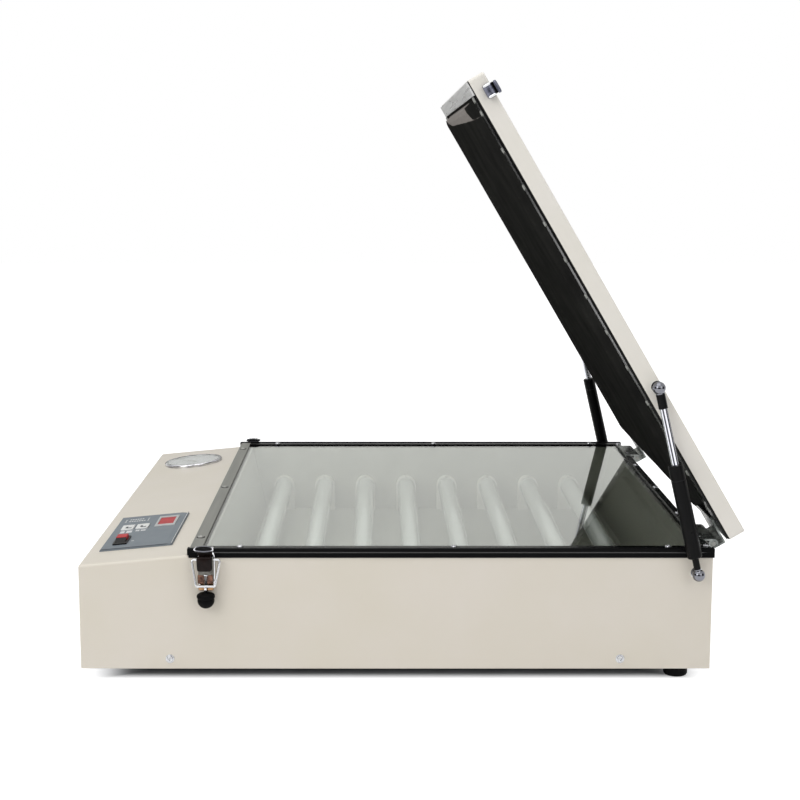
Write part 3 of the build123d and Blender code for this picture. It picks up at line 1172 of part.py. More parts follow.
save("lid_screws", *[SWING_OPEN * piece for piece in lid_screws()])
save("latch_keepers", *[SWING_OPEN * keeper for keeper in both_sides(latch_keeper())])
save("strut_base_studs", *both_sides(base_stud()))
save("strut_lid_studs", *[SWING_OPEN * stud for stud in both_sides(lid_stud())])
for side_name, index in (("right", 0), ("left", 1)):
    save(f"strut_cylinder_{side_name}", both_sides(strut_cylinder())[index])
    save(f"strut_rod_{side_name}", both_sides(strut_rod())[index])
    save(f"latch_lever_{side_name}", both_sides(latch_lever())[index])
    save(f"latch_bail_{side_name}", both_sides(latch_bail())[index])
save("latch_bases", *both_sides(latch_base()))
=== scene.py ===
"""Tabletop vacuum exposure unit for screen printing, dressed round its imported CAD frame."""
import math

import bmesh
import bpy
import numpy as np
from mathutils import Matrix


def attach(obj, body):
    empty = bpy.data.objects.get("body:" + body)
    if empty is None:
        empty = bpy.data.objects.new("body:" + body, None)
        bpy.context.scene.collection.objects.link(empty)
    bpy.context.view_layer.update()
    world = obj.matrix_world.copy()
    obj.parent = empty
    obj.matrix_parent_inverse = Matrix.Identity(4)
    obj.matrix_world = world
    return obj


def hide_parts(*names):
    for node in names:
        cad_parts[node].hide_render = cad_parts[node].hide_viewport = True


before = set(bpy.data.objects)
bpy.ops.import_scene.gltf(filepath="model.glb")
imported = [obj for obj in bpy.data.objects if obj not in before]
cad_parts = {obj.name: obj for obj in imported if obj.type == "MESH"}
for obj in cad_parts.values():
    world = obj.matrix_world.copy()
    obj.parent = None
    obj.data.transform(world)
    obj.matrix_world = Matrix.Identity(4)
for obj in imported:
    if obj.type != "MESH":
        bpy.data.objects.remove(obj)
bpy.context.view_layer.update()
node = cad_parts

# ---- studio ------------------------------------------
# A white floor that keeps the shadow under the unit, a white surround and large soft lamps. Dark
# cards out of view give glass, chrome and glossy black something dark to mirror.
CAMERA_AT = (1.9425, -0.0354, 0.5468)
CAMERA_TILT = 81.5
CAMERA_LENS = 69.75
CAMERA_SHIFT = 0.0275
FLOOR_SIZE = 14.0
FOOTPRINT_HALF, FOOTPRINT_MIDDLE = (0.328, 0.330), -0.017
LIFT, LIFT_FROM, LIFT_TO = 0.75, -0.022, 0.004
SHADE_FROM, SHADE_TO = -0.036, 0.0


def linear(hex_colour):
    """sRGB hex to linear RGBA: c/12.92 near black, ((c + 0.055)/1.055)^2.4 above it."""
    srgb = [int(hex_colour[n:n + 2], 16) / 255 for n in (1, 3, 5)]
    return (*[c / 12.92 if c <= 0.04045 else ((c + 0.055) / 1.055) ** 2.4 for c in srgb], 1.0)


def add(tree, kind, inputs=None, **settings):
    """Adds one node. Settings are its own choices; each input is set, or linked if it is a socket
    or a node, which stands for its first output."""
    made = tree.nodes.new(kind)
    for name, value in settings.items():
        setattr(made, name, value)
    for key, value in (inputs or {}).items():
        if isinstance(value, bpy.types.Node):
            value = value.outputs[0]
        if isinstance(value, bpy.types.NodeSocket):
            tree.links.new(value, made.inputs[key])
        else:
            made.inputs[key].default_value = value
    return made


def surface(name, grid, close_rows=False, close_columns=False):
    """A mesh over points grid[..., row, column, xyz] in metres, one quad to a cell. A closed
    direction joins its last line to its first, and rows drawn to one point become a closed pole."""
    grid = np.asarray(grid, float)
    rows, columns = grid.shape[-3:-1]
    points = grid.reshape(-1, 3)
    index = np.arange(rows * columns).reshape(rows, columns)
    if close_rows:
        index = np.vstack([index, index[:1]])
    if close_columns:
        index = np.hstack([index, index[:, :1]])
    cells = np.stack([index[:-1, :-1], index[:-1, 1:], index[1:, 1:], index[1:, :-1]], -1)
    times = len(points) // (rows * columns)
    cells = cells.reshape(1, -1, 4) + np.arange(times).reshape(-1, 1, 1) * rows * columns
    cells = cells.reshape(-1, 4)
    mesh = bpy.data.meshes.new(name)
    mesh.vertices.add(len(points))
    mesh.vertices.foreach_set("co", points.ravel())
    mesh.loops.add(cells.size)
    mesh.loops.foreach_set("vertex_index", cells.ravel().astype(np.int32))
    mesh.polygons.add(len(cells))
    mesh.polygons.foreach_set("loop_start", np.arange(0, cells.size, 4, dtype=np.int32))
    mesh.polygons.foreach_set("use_smooth", np.ones(len(cells), bool))
    mesh.update(calc_edges=True)
    merged = bmesh.new()
    merged.from_mesh(mesh)
    bmesh.ops.remove_doubles(merged, verts=merged.verts, dist=2e-7)
    bmesh.ops.dissolve_degenerate(merged, edges=merged.edges, dist=1e-8)
    merged.to_mesh(mesh)
    merged.free()
    made = bpy.data.objects.new(name, mesh)
    bpy.context.scene.collection.objects.link(made)
    return made


scene = bpy.context.scene
scene.view_settings.view_transform = "Standard"
camera = bpy.data.objects.new("camera", bpy.data.cameras.new("camera"))
scene.collection.objects.link(camera)
camera.location = CAMERA_AT
camera.rotation_euler = (math.radians(CAMERA_TILT), 0, math.radians(90))
camera.data.lens = CAMERA_LENS
camera.data.sensor_width = 36
camera.data.shift_x = CAMERA_SHIFT
camera.data.clip_start, camera.data.clip_end = 0.05, 60
scene.camera = camera

world = bpy.data.worlds.new("studio_surround")
scene.world = world
world.use_nodes = True
sky = world.node_tree
sky.nodes.clear()
sky_path = add(sky, "ShaderNodeLightPath")
sky_seen = add(sky, "ShaderNodeMath", {0: sky_path.outputs["Is Camera Ray"],
                                       1: sky_path.outputs["Is Glossy Ray"]}, operation="MAXIMUM")
sky_seen = add(sky, "ShaderNodeMath", {0: sky_seen, 1: sky_path.outputs["Is Transmission Ray"]},
               operation="MAXIMUM")
sky_soft = add(sky, "ShaderNodeBackground", {"Color": (1, 1, 1, 1), "Strength": 0.50})
sky_white = add(sky, "ShaderNodeBackground", {"Color": (1, 1, 1, 1), "Strength": 1.0})
sky_mix = add(sky, "ShaderNodeMixShader", {0: sky_seen, 1: sky_soft, 2: sky_white})
add(sky, "ShaderNodeOutputWorld", {"Surface": sky_mix})


def bare_material(name):
    """A material with an empty node tree; returns it with the tree."""
    made = bpy.data.materials.new(name)
    made.use_nodes = True
    made.node_tree.nodes.clear()
    return made, made.node_tree


def flat_panel(name, middle, across, up):
    """Four corners: the middle, plus and minus the half vectors across and up."""
    middle, across, up = (np.array(v, float) for v in (middle, across, up))
    return surface(name, [[middle - across - up, middle + across - up],
                          [middle - across + up, middle + across + up]])


# The paper glows a little to camera beyond the unit's footprint, and under it its colour is
# darkened to grey, a painted contact shadow, so that the shadow stays dark and narrow while the
# rest of the floor runs out to plain white.
floor_paint, tree = bare_material("white_backdrop_paper")
path = add(tree, "ShaderNodeLightPath")
seen = add(tree, "ShaderNodeMath", {0: path.outputs["Is Camera Ray"],
                                    1: path.outputs["Is Glossy Ray"]}, operation="MAXIMUM")
floor_at = add(tree, "ShaderNodeTexCoord").outputs["Object"]
floor_at = add(tree, "ShaderNodeSeparateXYZ", {0: floor_at})
beyond = []
for axis, middle, share in ((0, 0.0, 1.0), (1, FOOTPRINT_MIDDLE, 0.5)):
    aside = add(tree, "ShaderNodeMath", {0: floor_at.outputs[axis], 1: middle},
                operation="SUBTRACT")
    aside = add(tree, "ShaderNodeMath", {0: aside}, operation="ABSOLUTE")
    aside = add(tree, "ShaderNodeMath", {0: aside, 1: FOOTPRINT_HALF[axis]},
                operation="SUBTRACT")
    beyond.append(add(tree, "ShaderNodeMath", {0: aside, 1: share}, operation="MULTIPLY"))
outside = add(tree, "ShaderNodeMath", {0: beyond[0], 1: beyond[1]},
              operation="MAXIMUM")
lift_level = add(tree, "ShaderNodeMapRange", {0: outside, 1: LIFT_FROM, 2: LIFT_TO, 4: LIFT},
                 interpolation_type="SMOOTHSTEP")
shade = add(tree, "ShaderNodeMapRange", {0: outside, 1: SHADE_FROM, 2: SHADE_TO},
            interpolation_type="SMOOTHSTEP")
# Painted contact shadow: the paper's colour runs from grey under the unit to white beyond it.
painted_light_tone = add(tree, "ShaderNodeMix", {0: shade, 6: linear("#7F7F80"), 7: linear("#E7E7E7")},
           data_type="RGBA")
paper = add(tree, "ShaderNodeBsdfDiffuse", {"Color": painted_light_tone.outputs[2]})
lift = add(tree, "ShaderNodeEmission", {"Color": (1, 1, 1, 1), "Strength": lift_level})
both = add(tree, "ShaderNodeAddShader", {0: paper, 1: lift})
mix = add(tree, "ShaderNodeMixShader", {0: seen, 1: paper, 2: both})
add(tree, "ShaderNodeOutputMaterial", {"Surface": mix})
floor = flat_panel("floor", (0, 0, 0), (FLOOR_SIZE / 2, 0, 0), (0, FLOOR_SIZE / 2, 0))
floor.data.materials.append(floor_paint)

for name, colour, middle, across, up in (
        ("dark_card_camera", "#1A1B1F", (3.4, -0.1, 0.62), (0, 1.5, 0), (0, 0, 0.62)),
        ("dark_card_left", "#141518", (1.2, -3.2, 0.85), (1.2, 0.3, 0), (0, 0, 0.85)),
        ("dark_card_right", "#141518", (1.4, 3.0, 0.85), (1.1, -0.3, 0), (0, 0, 0.85)),
        ("dark_card_behind", "#1C1C1B", (-2.6, 0.1, 0.24), (0, 2.6, 0), (0, 0, 0.24)),
        ("pale_card_behind", "#DFE0DB", (-2.6, 0.1, 1.20), (0, 2.6, 0), (0, 0, 0.70))):
    card = flat_panel(name, middle, across, up)
    card_paper, tree = bare_material(name)
    glow = add(tree, "ShaderNodeEmission", {"Color": linear(colour), "Strength": 1.0})
    add(tree, "ShaderNodeOutputMaterial", {"Surface": glow})
    card.data.materials.append(card_paper)
    card.visible_camera = card.visible_diffuse = card.visible_shadow = False
    card.visible_transmission = False

for name, at, size, power, turn in (
        ("lamp_above", (0.7, -0.3, 2.6), 2.4, 24, (0, 12, 0)),
        ("lamp_camera_left", (2.4, -1.8, 1.6), 1.6, 20, (64, 0, 53)),
        ("lamp_camera_right", (2.5, 1.7, 1.4), 1.6, 8, (66, 0, 125))):
    lamp = bpy.data.objects.new(name, bpy.data.lights.new(name, "AREA"))
    lamp.data.shape = "SQUARE"
    lamp.data.size = size
    lamp.data.energy = power
    lamp.location = at
    lamp.rotation_euler = [math.radians(a) for a in turn]
    scene.collection.objects.link(lamp)

# ---- housing -----------------------------------------
# Folded 1.5 mm steel, powder coated ivory and baked: satin, with a fine orange peel that only
# breaks up the highlights. The pan under it is zinc plated.


def new_finish(name, colour, roughness, metallic=0.0, gloss=0.5):
    """A material with one Principled shader; returns it with its look: the node tree, the shader
    and the Object position, which is what the functions below work on."""
    made = bpy.data.materials.new(name)
    made.use_nodes = True
    tree = made.node_tree
    skin = tree.nodes["Principled BSDF"]
    skin.inputs["Base Color"].default_value = linear(colour)
    skin.inputs["Roughness"].default_value = roughness
    skin.inputs["Metallic"].default_value = metallic
    skin.inputs["Specular IOR Level"].default_value = gloss
    return made, (tree, skin, add(tree, "ShaderNodeTexCoord").outputs["Object"])


def mottle(look, low, high, size_mm, stretch=(1, 1, 1)):
    """Cloudy change between two colours, its patches about size_mm across."""
    tree, skin, place = look
    spread = add(tree, "ShaderNodeMapping", {"Vector": place, "Scale": stretch})
    cloud = add(tree, "ShaderNodeTexNoise", {"Vector": spread, "Scale": 1000 / size_mm,
                                             "Detail": 3.0})
    ramp = add(tree, "ShaderNodeMapRange", {0: cloud.outputs["Fac"], 1: 0.3, 2: 0.7})
    tint = add(tree, "ShaderNodeMix", {0: ramp, 6: linear(low), 7: linear(high)}, data_type="RGBA")
    tree.links.new(tint.outputs[2], skin.inputs["Base Color"])
    return cloud.outputs["Fac"], tint


def vary_roughness(look, signal, low, high):
    """Roughness runs from low to high with the signal."""
    tree, skin, _ = look
    ramp = add(tree, "ShaderNodeMapRange", {0: signal, 1: 0.25, 2: 0.75, 3: low, 4: high})
    tree.links.new(ramp.outputs[0], skin.inputs["Roughness"])


def grain(look, size_mm, depth_mm, stretch=(1, 1, 1)):
    """Bump from noise with grains size_mm across and depth_mm deep, drawn out by stretch."""
    tree, skin, place = look
    spread = add(tree, "ShaderNodeMapping", {"Vector": place, "Scale": stretch})
    noise = add(tree, "ShaderNodeTexNoise", {"Vector": spread, "Scale": 1000 / size_mm,
                                             "Detail": 2.0})
    bump = add(tree, "ShaderNodeBump", {"Height": noise.outputs["Fac"], "Strength": 1.0,
                                        "Distance": depth_mm / 1000})
    tree.links.new(bump.outputs[0], skin.inputs["Normal"])
    return noise.outputs["Fac"]


def clouded(name, colour, roughness, clouds, grains=None, shine=None, **more):
    """A finish mottled by clouds (low, high, size_mm), with a grain of grains (size_mm, depth_mm)
    and a roughness that follows the clouds over shine (low, high)."""
    made, look = new_finish(name, colour, roughness, **more)
    cloud, _ = mottle(look, *clouds)
    if shine:
        vary_roughness(look, cloud, *shine)
    if grains:
        grain(look, *grains)
    return made


def dress(finish, *names):
    """Gives CAD nodes their finish in every material slot."""
    for name in names:
        slots = node[name].data.materials
        if not slots:
            slots.append(finish)
        for n in range(len(slots)):
            slots[n] = finish


# Powder coat: satin, and even but for its orange peel. Zinc plate: cool, with a faint spangle.
IVORY_PEEL_MM = 1.6
ivory, look = new_finish("ivory_powder_coat", "#E2DACE", 0.42, gloss=0.42)
mottle(look, "#E1DACC", "#E4DDD2", 90)
peel = grain(look, IVORY_PEEL_MM, 0.012)
vary_roughness(look, peel, 0.38, 0.48)
dress(ivory, "base_shell", "rear_panel")

zinc = clouded("zinc_plated_steel", "#B9BABC", 0.34, ("#A6A8AB", "#C6C7C9", 9),
               metallic=1.0, shine=(0.26, 0.42))
dress(zinc, "bottom_pan")

# ---- feet and housing screws -------------------------
# Turned-down rubber feet, and zinc-plated pan heads with a cross recess, on washers at the sides.
SCREW_RINGS = np.array([0, .12, .24, .36, .46, .56, .66, .76, .85, .92, .97, 1.0, 1.0])
SCREW_SPOKES = 40

# Rubber: dead black with a dry bloom in patches, so it hardly mirrors anything.
rubber = clouded("moulded_black_rubber", "#080809", 0.5, ("#09090A", "#0F0F10", 14),
                 (1.1, 0.02), gloss=0.05, shine=(0.42, 0.6))
dress(rubber, "feet")


def turned(middle, out, spin=0.0):
    """A 4 x 4 placing matrix: +Z goes to out, +X to any square direction turned by spin degrees."""
    z = np.array(out, float) / np.linalg.norm(out)
    x = np.cross([0, 1, 0], z) if abs(z[1]) < 0.9 else np.cross([0, 0, 1], z)
    x /= np.linalg.norm(x)
    y = np.cross(z, x)
    c, s = math.cos(math.radians(spin)), math.sin(math.radians(spin))
    made = np.eye(4)
    made[:3, 0], made[:3, 1], made[:3, 2], made[:3, 3] = c * x + s * y, c * y - s * x, z, middle
    return made


def put(points, matrix):
    """Points carried by a 4 x 4 matrix."""
    return np.asarray(points) @ matrix[:3, :3].T + matrix[:3, 3]


def screw_head(radius, height, flush=False):
    """A disc of rings and spokes, raised to height * (1 - r^5)^0.4, less a cross recess: full depth
    where the nearer of |x| and |y| is inside the slot's half width, fading at the slot's end."""
    turn = np.linspace(0, 2 * np.pi, SCREW_SPOKES, endpoint=False)
    r, a = np.meshgrid(SCREW_RINGS, turn, indexing="ij")
    x, y = r * np.cos(a), r * np.sin(a)
    narrow, long = np.minimum(abs(x), abs(y)), np.maximum(abs(x), abs(y))
    slot = np.clip((0.17 - narrow) / 0.06, 0, 1) * np.clip((0.66 - long) / 0.22, 0, 1)
    rise = height * (1 - np.clip(r, 0, 1) ** 5) ** 0.4
    rise = rise - slot * (0.0009 if flush else 0.75 * height)
    rise[-1] = -0.0004
    return np.stack([x * radius, y * radius, rise], -1)


def lathe(profile, spokes=48):
    """A profile of (r, h) pairs in metres turned about +Z: x = r cos a, y = r sin a, z = h."""
    profile = np.array(profile, float)
    turn = np.linspace(0, 2 * np.pi, spokes, endpoint=False)
    r, h = profile[:, :1], profile[:, 1:]
    return np.stack([r * np.cos(turn), r * np.sin(turn), h + 0 * turn], -1)


def fit(made, finish, body, slot, *replaced):
    """A new piece's finish, the body it rides on, its slot, which is not used, and the CAD nodes it
    stands for.
    """
    made.data.materials.append(finish)
    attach(made, body)
    if replaced:
        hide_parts(*replaced)
    return made


def copies(name, shape, places, finish, body, slot, *replaced):
    """One mesh of the same round shape, put at each of the matrices in places."""
    made = surface(name, np.stack([put(shape, p) for p in places]), close_columns=True)
    return fit(made, finish, body, slot, *replaced)


# Bright zinc: near white where it catches a lamp, with rubbed, duller patches.
bright_zinc = clouded("bright_zinc_screw_steel", "#C9CACD", 0.24, ("#B4B5B9", "#D6D7D9", 3),
                      metallic=1.0, shine=(0.18, 0.34))

HOUSE_HALF, REAR_Y = 0.328, 0.323
SIDE_SCREW_Z, SIDE_SCREW_Y, WASHER_T = 0.023, (-0.260, 0.226), 0.0008
side_places = [turned((side * (HOUSE_HALF + WASHER_T), y, SIDE_SCREW_Z), (side, 0, 0), 20 + 31 * n)
               for n, (side, y) in enumerate((s, y) for s in (-1, 1) for y in SIDE_SCREW_Y)]
REAR_SCREW_X, REAR_SCREW_Z = (-0.300, -0.100, 0.100, 0.300), (0.0205, 0.128)
rear_places = [turned((x, REAR_Y, z), (0, 1, 0), 15 + 37 * n)
               for n, (x, z) in enumerate((x, z) for x in REAR_SCREW_X for z in REAR_SCREW_Z)]
FOOT_SCREWS, FOOT_SCREW_Z = ((0.309, 0.2896), (0.270, -0.300)), 0.006
foot_places = [turned((side * x, y, FOOT_SCREW_Z), (0, 0, -1), 12 * side) for side in (-1, 1)
               for x, y in FOOT_SCREWS]
case_head = screw_head(0.0034, 0.0018)
copies("housing_screws", case_head, side_places + rear_places + foot_places, bright_zinc, "base",
       "plated_steel", "body_screws")
washer = lathe([(0.0030, 0.0), (0.0030, 0.0007), (0.0044, WASHER_T), (0.0048, 0.0005),
                (0.0048, 0.0)])
washer_places = [turned((side * HOUSE_HALF, y, SIDE_SCREW_Z), (side, 0, 0))
                 for side in (-1, 1) for y in SIDE_SCREW_Y]
copies("side_washers", washer, washer_places, bright_zinc, "base", "plated_steel")

# ---- light box ---------------------------------------
# Folded steel tray, sprayed with white reflector enamel, with eight pairs of tombstone lampholders
# on its floor and four ballasts on the pan beneath.
# Enamel and nylon are matt; the enamel is painted a mid grey, painted shade for the dim inside of
# the box, and the nylon is grey with dust; tin plate is dull and cool.
enamel_painted_shade = clouded("white_reflector_enamel_painted_shade", "#9C9C93", 0.38, ("#95958C", "#A3A39A", 60),
                 (2.0, 0.01), shine=(0.32, 0.5))
dress(enamel_painted_shade, "light_box")

white_nylon = clouded("white_moulded_nylon", "#DEDDD6", 0.46,
                      ("#D8D6CE", "#E4E3DD", 20), (0.8, 0.01))
dress(white_nylon, "lampholders")

ballast_paint = clouded("ballast_tin_plate", "#A9ABAA", 0.4,
                        ("#9FA1A1", "#B4B6B5", 12), metallic=0.8)
dress(ballast_paint, "ballasts")

# ---- tubes -------------------------------------------
# Eight fluorescent blacklight tubes: soda glass with a milky phosphor coat inside, aluminium end
# caps crimped on, and brass contact pins.
TUBE_CAP_AT, TUBE_END_AT = 0.2862, 0.2950


def show(tree, shader):
    """Makes a shader node the one that the material's output shows."""
    tree.links.new(shader.outputs[0], tree.nodes["Material Output"].inputs["Surface"])


def change_at(tree, value, limit, before, after):
    """The shader before where the value is under the limit, and the shader after beyond it."""
    beyond = add(tree, "ShaderNodeMath", {0: value, 1: limit}, operation="GREATER_THAN")
    return add(tree, "ShaderNodeMixShader", {0: beyond, 1: before, 2: after})


# Glass over phosphor: a milky white body under a clear, sharp gloss.
phosphor, look = new_finish("phosphor_coated_glass", "#D0D4D3", 0.2)
mottle(look, "#C9CDCC", "#D8DCDB", 40, stretch=(0.2, 1, 1))
tree, skin, place = look
skin.inputs["Coat Weight"].default_value = 1.0
skin.inputs["Coat Roughness"].default_value = 0.04
along = add(tree, "ShaderNodeSeparateXYZ", {0: place})
outward = add(tree, "ShaderNodeMath", {0: along}, operation="ABSOLUTE")
cap = add(tree, "ShaderNodeBsdfPrincipled", {"Base Color": linear("#C4C6C6"), "Metallic": 1.0,
                                             "Roughness": 0.32})
pin = add(tree, "ShaderNodeBsdfPrincipled", {"Base Color": linear("#C9A45A"), "Metallic": 1.0,
                                             "Roughness": 0.3})
capped = change_at(tree, outward, TUBE_CAP_AT, skin, cap)
show(tree, change_at(tree, outward, TUBE_END_AT, capped, pin))
dress(phosphor, *[f"uv_tube_{n}" for n in range(1, 9)])

# ---- glass and gasket --------------------------------
# Clear 5 mm float glass on a flat rubber gasket, held down by the frame round it. Its iron gives
# the faint green of its edges.
dress(rubber, "glass_gasket")


def clear_glass(name, colour, shadow_colour, index, film_scale, haze, film_detail=2.0):
    """Clear glass with a film of handling: roughness from 0 to haze with noise of film_scale to the
    metre. To a shadow ray it is plain tinted air, so that lamp light passes straight through."""
    made, look = new_finish(name, colour, 0.0)
    tree, skin, place = look
    skin.inputs["Transmission Weight"].default_value = 1.0
    skin.inputs["IOR"].default_value = index
    film = add(tree, "ShaderNodeTexNoise", {"Vector": place, "Scale": film_scale,
                                            "Detail": film_detail})
    vary_roughness(look, film.outputs["Fac"], 0.0, haze)
    path = add(tree, "ShaderNodeLightPath")
    clear = add(tree, "ShaderNodeBsdfTransparent", {"Color": shadow_colour})
    show(tree, add(tree, "ShaderNodeMixShader", {0: path.outputs["Is Shadow Ray"], 1: skin,
                                                 2: clear}))
    return made


dress(clear_glass("clear_float_glass", "#F0F3EF", linear("#F1F3EF"), 1.52, 18.0, 0.012, 4.0),
      "exposure_glass")

# ---- glass frame -------------------------------------
# Natural anodised aluminium angle across the front, black painted steel bars at the sides and
# rear, black rubber edging along both sides, and pan-head screws.
# Anodised: grey satin drawn out along the strip. Stoved black: smooth, with a low gloss.
anodised = clouded("natural_anodised_aluminium", "#8A8A84", 0.5,
                   ("#7F7F7A", "#93938D", 6, (0.05, 1, 1)),
                   (0.9, 0.01, (0.02, 1, 1)), metallic=0.6, shine=(0.44, 0.58))
dress(anodised, "front_strip")

black_steel = clouded("black_stoved_steel", "#070708", 0.26, ("#050506", "#0B0B0C", 25),
                      (1.4, 0.01), gloss=0.2, shine=(0.2, 0.32))
dress(black_steel, "rear_strip", "side_bars")
dress(rubber, "edge_trims")

TRIM_FACE_X, RIB_Z, RIB_R = 0.3290, 0.1409, 0.0007
TRIM_FROM, TRIM_TO = -0.238, 0.323


def rib(side):
    """Half a round rib along an edging: x = face + R cos a and z = middle + R sin a, drawn to a
    point at both ends."""
    y = np.linspace(TRIM_FROM, TRIM_TO, 40)[:, None]
    a = np.linspace(0, 2 * np.pi, 16, endpoint=False)
    r = np.where((y > TRIM_FROM) & (y < TRIM_TO), RIB_R, 0)
    points = np.stack([side * (TRIM_FACE_X + r * np.cos(a)), y + 0 * a, RIB_Z + r * np.sin(a)], -1)
    return points if side > 0 else points[::-1]


# The rib is polished by handling, and draws a fine light line along the edging.
rib_gloss = clouded("glossy_extruded_edging", "#0C0C0D", 0.16,
                    ("#0A0A0B", "#101011", 10), gloss=0.7)
fit(surface("edging_ribs", np.stack([rib(1), rib(-1)]), close_columns=True), rib_gloss, "base",
    "black_rubber")

# Dull zinc is an even mid grey; greyed zinc is patchy and almost as dark as the strip under it.
dull_zinc = clouded("dull_zinc_screw_steel", "#8F908C", 0.45, ("#80817D", "#9C9D99", 3),
                    metallic=0.8, shine=(0.36, 0.55))
greyed_zinc = clouded("greyed_zinc_screw_steel", "#A3A39E", 0.5, ("#7C7C78", "#C2C2BC", 2),
                      metallic=0.25)

FRAME_TOP, LEAF_T = 0.144, 0.0019
STRIP_Y, BAR_X, REAR_STRIP_Y = -0.2311, 0.3156, 0.319
HINGE_X, LEAF_SCREWS = 0.253, (-0.024, 0, 0.024)
frame_places = [turned((x, STRIP_Y, FRAME_TOP), (0, 0, 1), 24 + 40 * n)
                for n, x in enumerate((-0.272, 0, 0.272))]
bar_places = [turned((side * BAR_X, y, FRAME_TOP), (0, 0, 1), 17 + 33 * n) for side in (-1, 1)
              for n, y in enumerate((-0.184, 0.0465, 0.277))]
rear_strip_places = [turned((x, REAR_STRIP_Y, FRAME_TOP), (0, 0, 1), 30 + x * 100)
                     for x in (-0.311, -0.150, 0, 0.150, 0.311)]
leaf_places = [turned((side * HINGE_X + x, REAR_STRIP_Y, FRAME_TOP + LEAF_T), (0, 0, 1), x * 900)
               for side in (-1, 1) for x in LEAF_SCREWS]
pan_head, leaf_head = screw_head(0.0034, 0.0017), screw_head(0.0026, 0.0002, flush=True)
copies("strip_screws", pan_head, frame_places, greyed_zinc, "base", "plated_steel", "frame_screws")
# Painted shadow: a black ring under each front strip screw darkens its outline.
painted_shadow_ring = lathe([(0.0030, 0.0001), (0.0036, 0.0003), (0.0045, 0.0003), (0.0048, 0.0001),
              (0.0048, -0.0003)])
copies("strip_screw_painted_shadow_rings", painted_shadow_ring, frame_places, black_steel, "base", "plated_steel")
copies("frame_pan_screws", pan_head, bar_places + rear_strip_places, bright_zinc, "base",
       "plated_steel")
copies("base_leaf_screws", leaf_head, leaf_places, bright_zinc, "base", "plated_steel")

# ---- control panel -----------------------------------
# Blue-grey moulded panel with a bevelled edge, two white push keys, a red display window in a pale
# bezel, and a rocker switch; the timer board hangs on posts beneath it.
SLOPE_ANGLE = math.radians(5.447)
SLOPE = np.array([[1, 0, 0, 0],
                  [0, math.cos(SLOPE_ANGLE), -math.sin(SLOPE_ANGLE), -0.357],
                  [0, math.sin(SLOPE_ANGLE), math.cos(SLOPE_ANGLE), 0.1264],
                  [0, 0, 0, 1]])
PLATE_TOP = 0.0022

# Moulded panel: matt, even blue-grey. Bezel: smoother and paler, so that the red window stands out.
panel = clouded("blue_grey_moulded_panel", "#727B83", 0.5, ("#6E777F", "#778087", 30), (0.7, 0.02))
dress(panel, "control_plate")

bezel_grey = clouded("pale_grey_bezel_plastic", "#B9BCBB", 0.4,
                     ("#B2B5B5", "#C0C3C2", 12), (0.6, 0.01))
dress(bezel_grey, "display_bezel")

# Red acrylic: deep and flat, and hardly a mirror. Keys: the cleanest white on the unit.
red_acrylic = clouded("red_acrylic_window", "#B81F2A", 0.3, ("#AE1A25", "#C2262F", 8), gloss=0.1)
dress(red_acrylic, "display_window")

key_white = clouded("white_key_plastic", "#E9EAE8", 0.3, ("#E3E4E2", "#EFF0EE", 9), (0.6, 0.008))
dress(key_white, "timer_key", "start_key")

# Switch nylon: near black with a broad soft gleam.
switch_black = clouded("black_switch_nylon", "#101011", 0.36,
                       ("#0D0D0E", "#151516", 6), (0.5, 0.01), gloss=0.25)
dress(switch_black, "rocker_frame")

# Two-shot rocker: red on its far half, black on the half nearer the side of the unit.
ROCKER_X = 0.2424
rocker, look = new_finish("two_shot_rocker_plastic", "#B8141F", 0.3, gloss=0.1)
mottle(look, "#B8141F", "#C91F29", 6)
tree, skin, place = look
across = add(tree, "ShaderNodeSeparateXYZ", {0: place})
black_half = add(tree, "ShaderNodeBsdfPrincipled", {
    "Base Color": linear("#0C0C0D"), "Roughness": 0.34, "Specular IOR Level": 0.2})
show(tree, change_at(tree, across, ROCKER_X, skin, black_half))
dress(rocker, "rocker_switch")

# Laminate: patchy green, glossy under its mask.
board_green = clouded("green_circuit_laminate", "#1E5A33", 0.3, ("#18502C", "#26693D", 4))
dress(board_green, "timer_board")


def marks(name, rectangles, matrix, finish, body, slot):
    """Printed marks as one mesh: each (x, y, width, height) is a flat quad lifted off its face."""
    corners = np.array([[(-0.5, -0.5), (0.5, -0.5)], [(-0.5, 0.5), (0.5, 0.5)]])
    flat = np.array([np.array(r[:2]) + corners * r[2:] for r in rectangles])
    flat = np.concatenate([flat, np.zeros((*flat.shape[:-1], 1))], -1)
    return fit(surface(name, put(flat, matrix)), finish, body, slot)


# Screen ink: matt, thin, and a little uneven where it was drawn over the grain.
ink_white = clouded("white_screen_ink", "#D9DBDB", 0.6, ("#CBCDCE", "#E6E7E7", 2))
ink_dark = clouded("dark_grey_screen_ink", "#44474C", 0.6, ("#3A3D42", "#50545A", 2))

# The print stands for letters too small to draw: x, distance up the slope, width and height.
PRINT_LIFT = 0.00006
plate_marks = [(0.1953, 0.0268, 0.0105, 0.0052), (0.1953, 0.0347, 0.0105, 0.0066),
               (0.1935, 0.0440, 0.0060, 0.0048), (0.1935, 0.0508, 0.0060, 0.0056),
               (0.2434, 0.0463, 0.0024, 0.0030), (0.1940, 0.0936, 0.1560, 0.0007)]
plate_marks += [(x, 0.0272 + 0.0029 * n, 0.0042, 0.0021)
                for x, letters in ((0.1315, 6), (0.1410, 7)) for n in range(letters)]
plate_marks += [(x, up, width, height) for up in (0.0222, 0.0488) for x, width, height in
                ((0.1365, 0.0130, 0.0008), (0.1300, 0.0012, 0.0022), (0.1430, 0.0012, 0.0022))]
edge_marks = [(0.1940, 0.0943, 0.1580, 0.0008), (0.2733, 0.0543, 0.0010, 0.0790)]
on_plate = SLOPE @ turned((0, 0, PLATE_TOP + PRINT_LIFT), (0, 0, 1))
marks("plate_marks", plate_marks, on_plate, ink_white, "base", "panel_plastic")
marks("plate_edge_line", edge_marks, on_plate, ink_dark, "base", "panel_plastic")


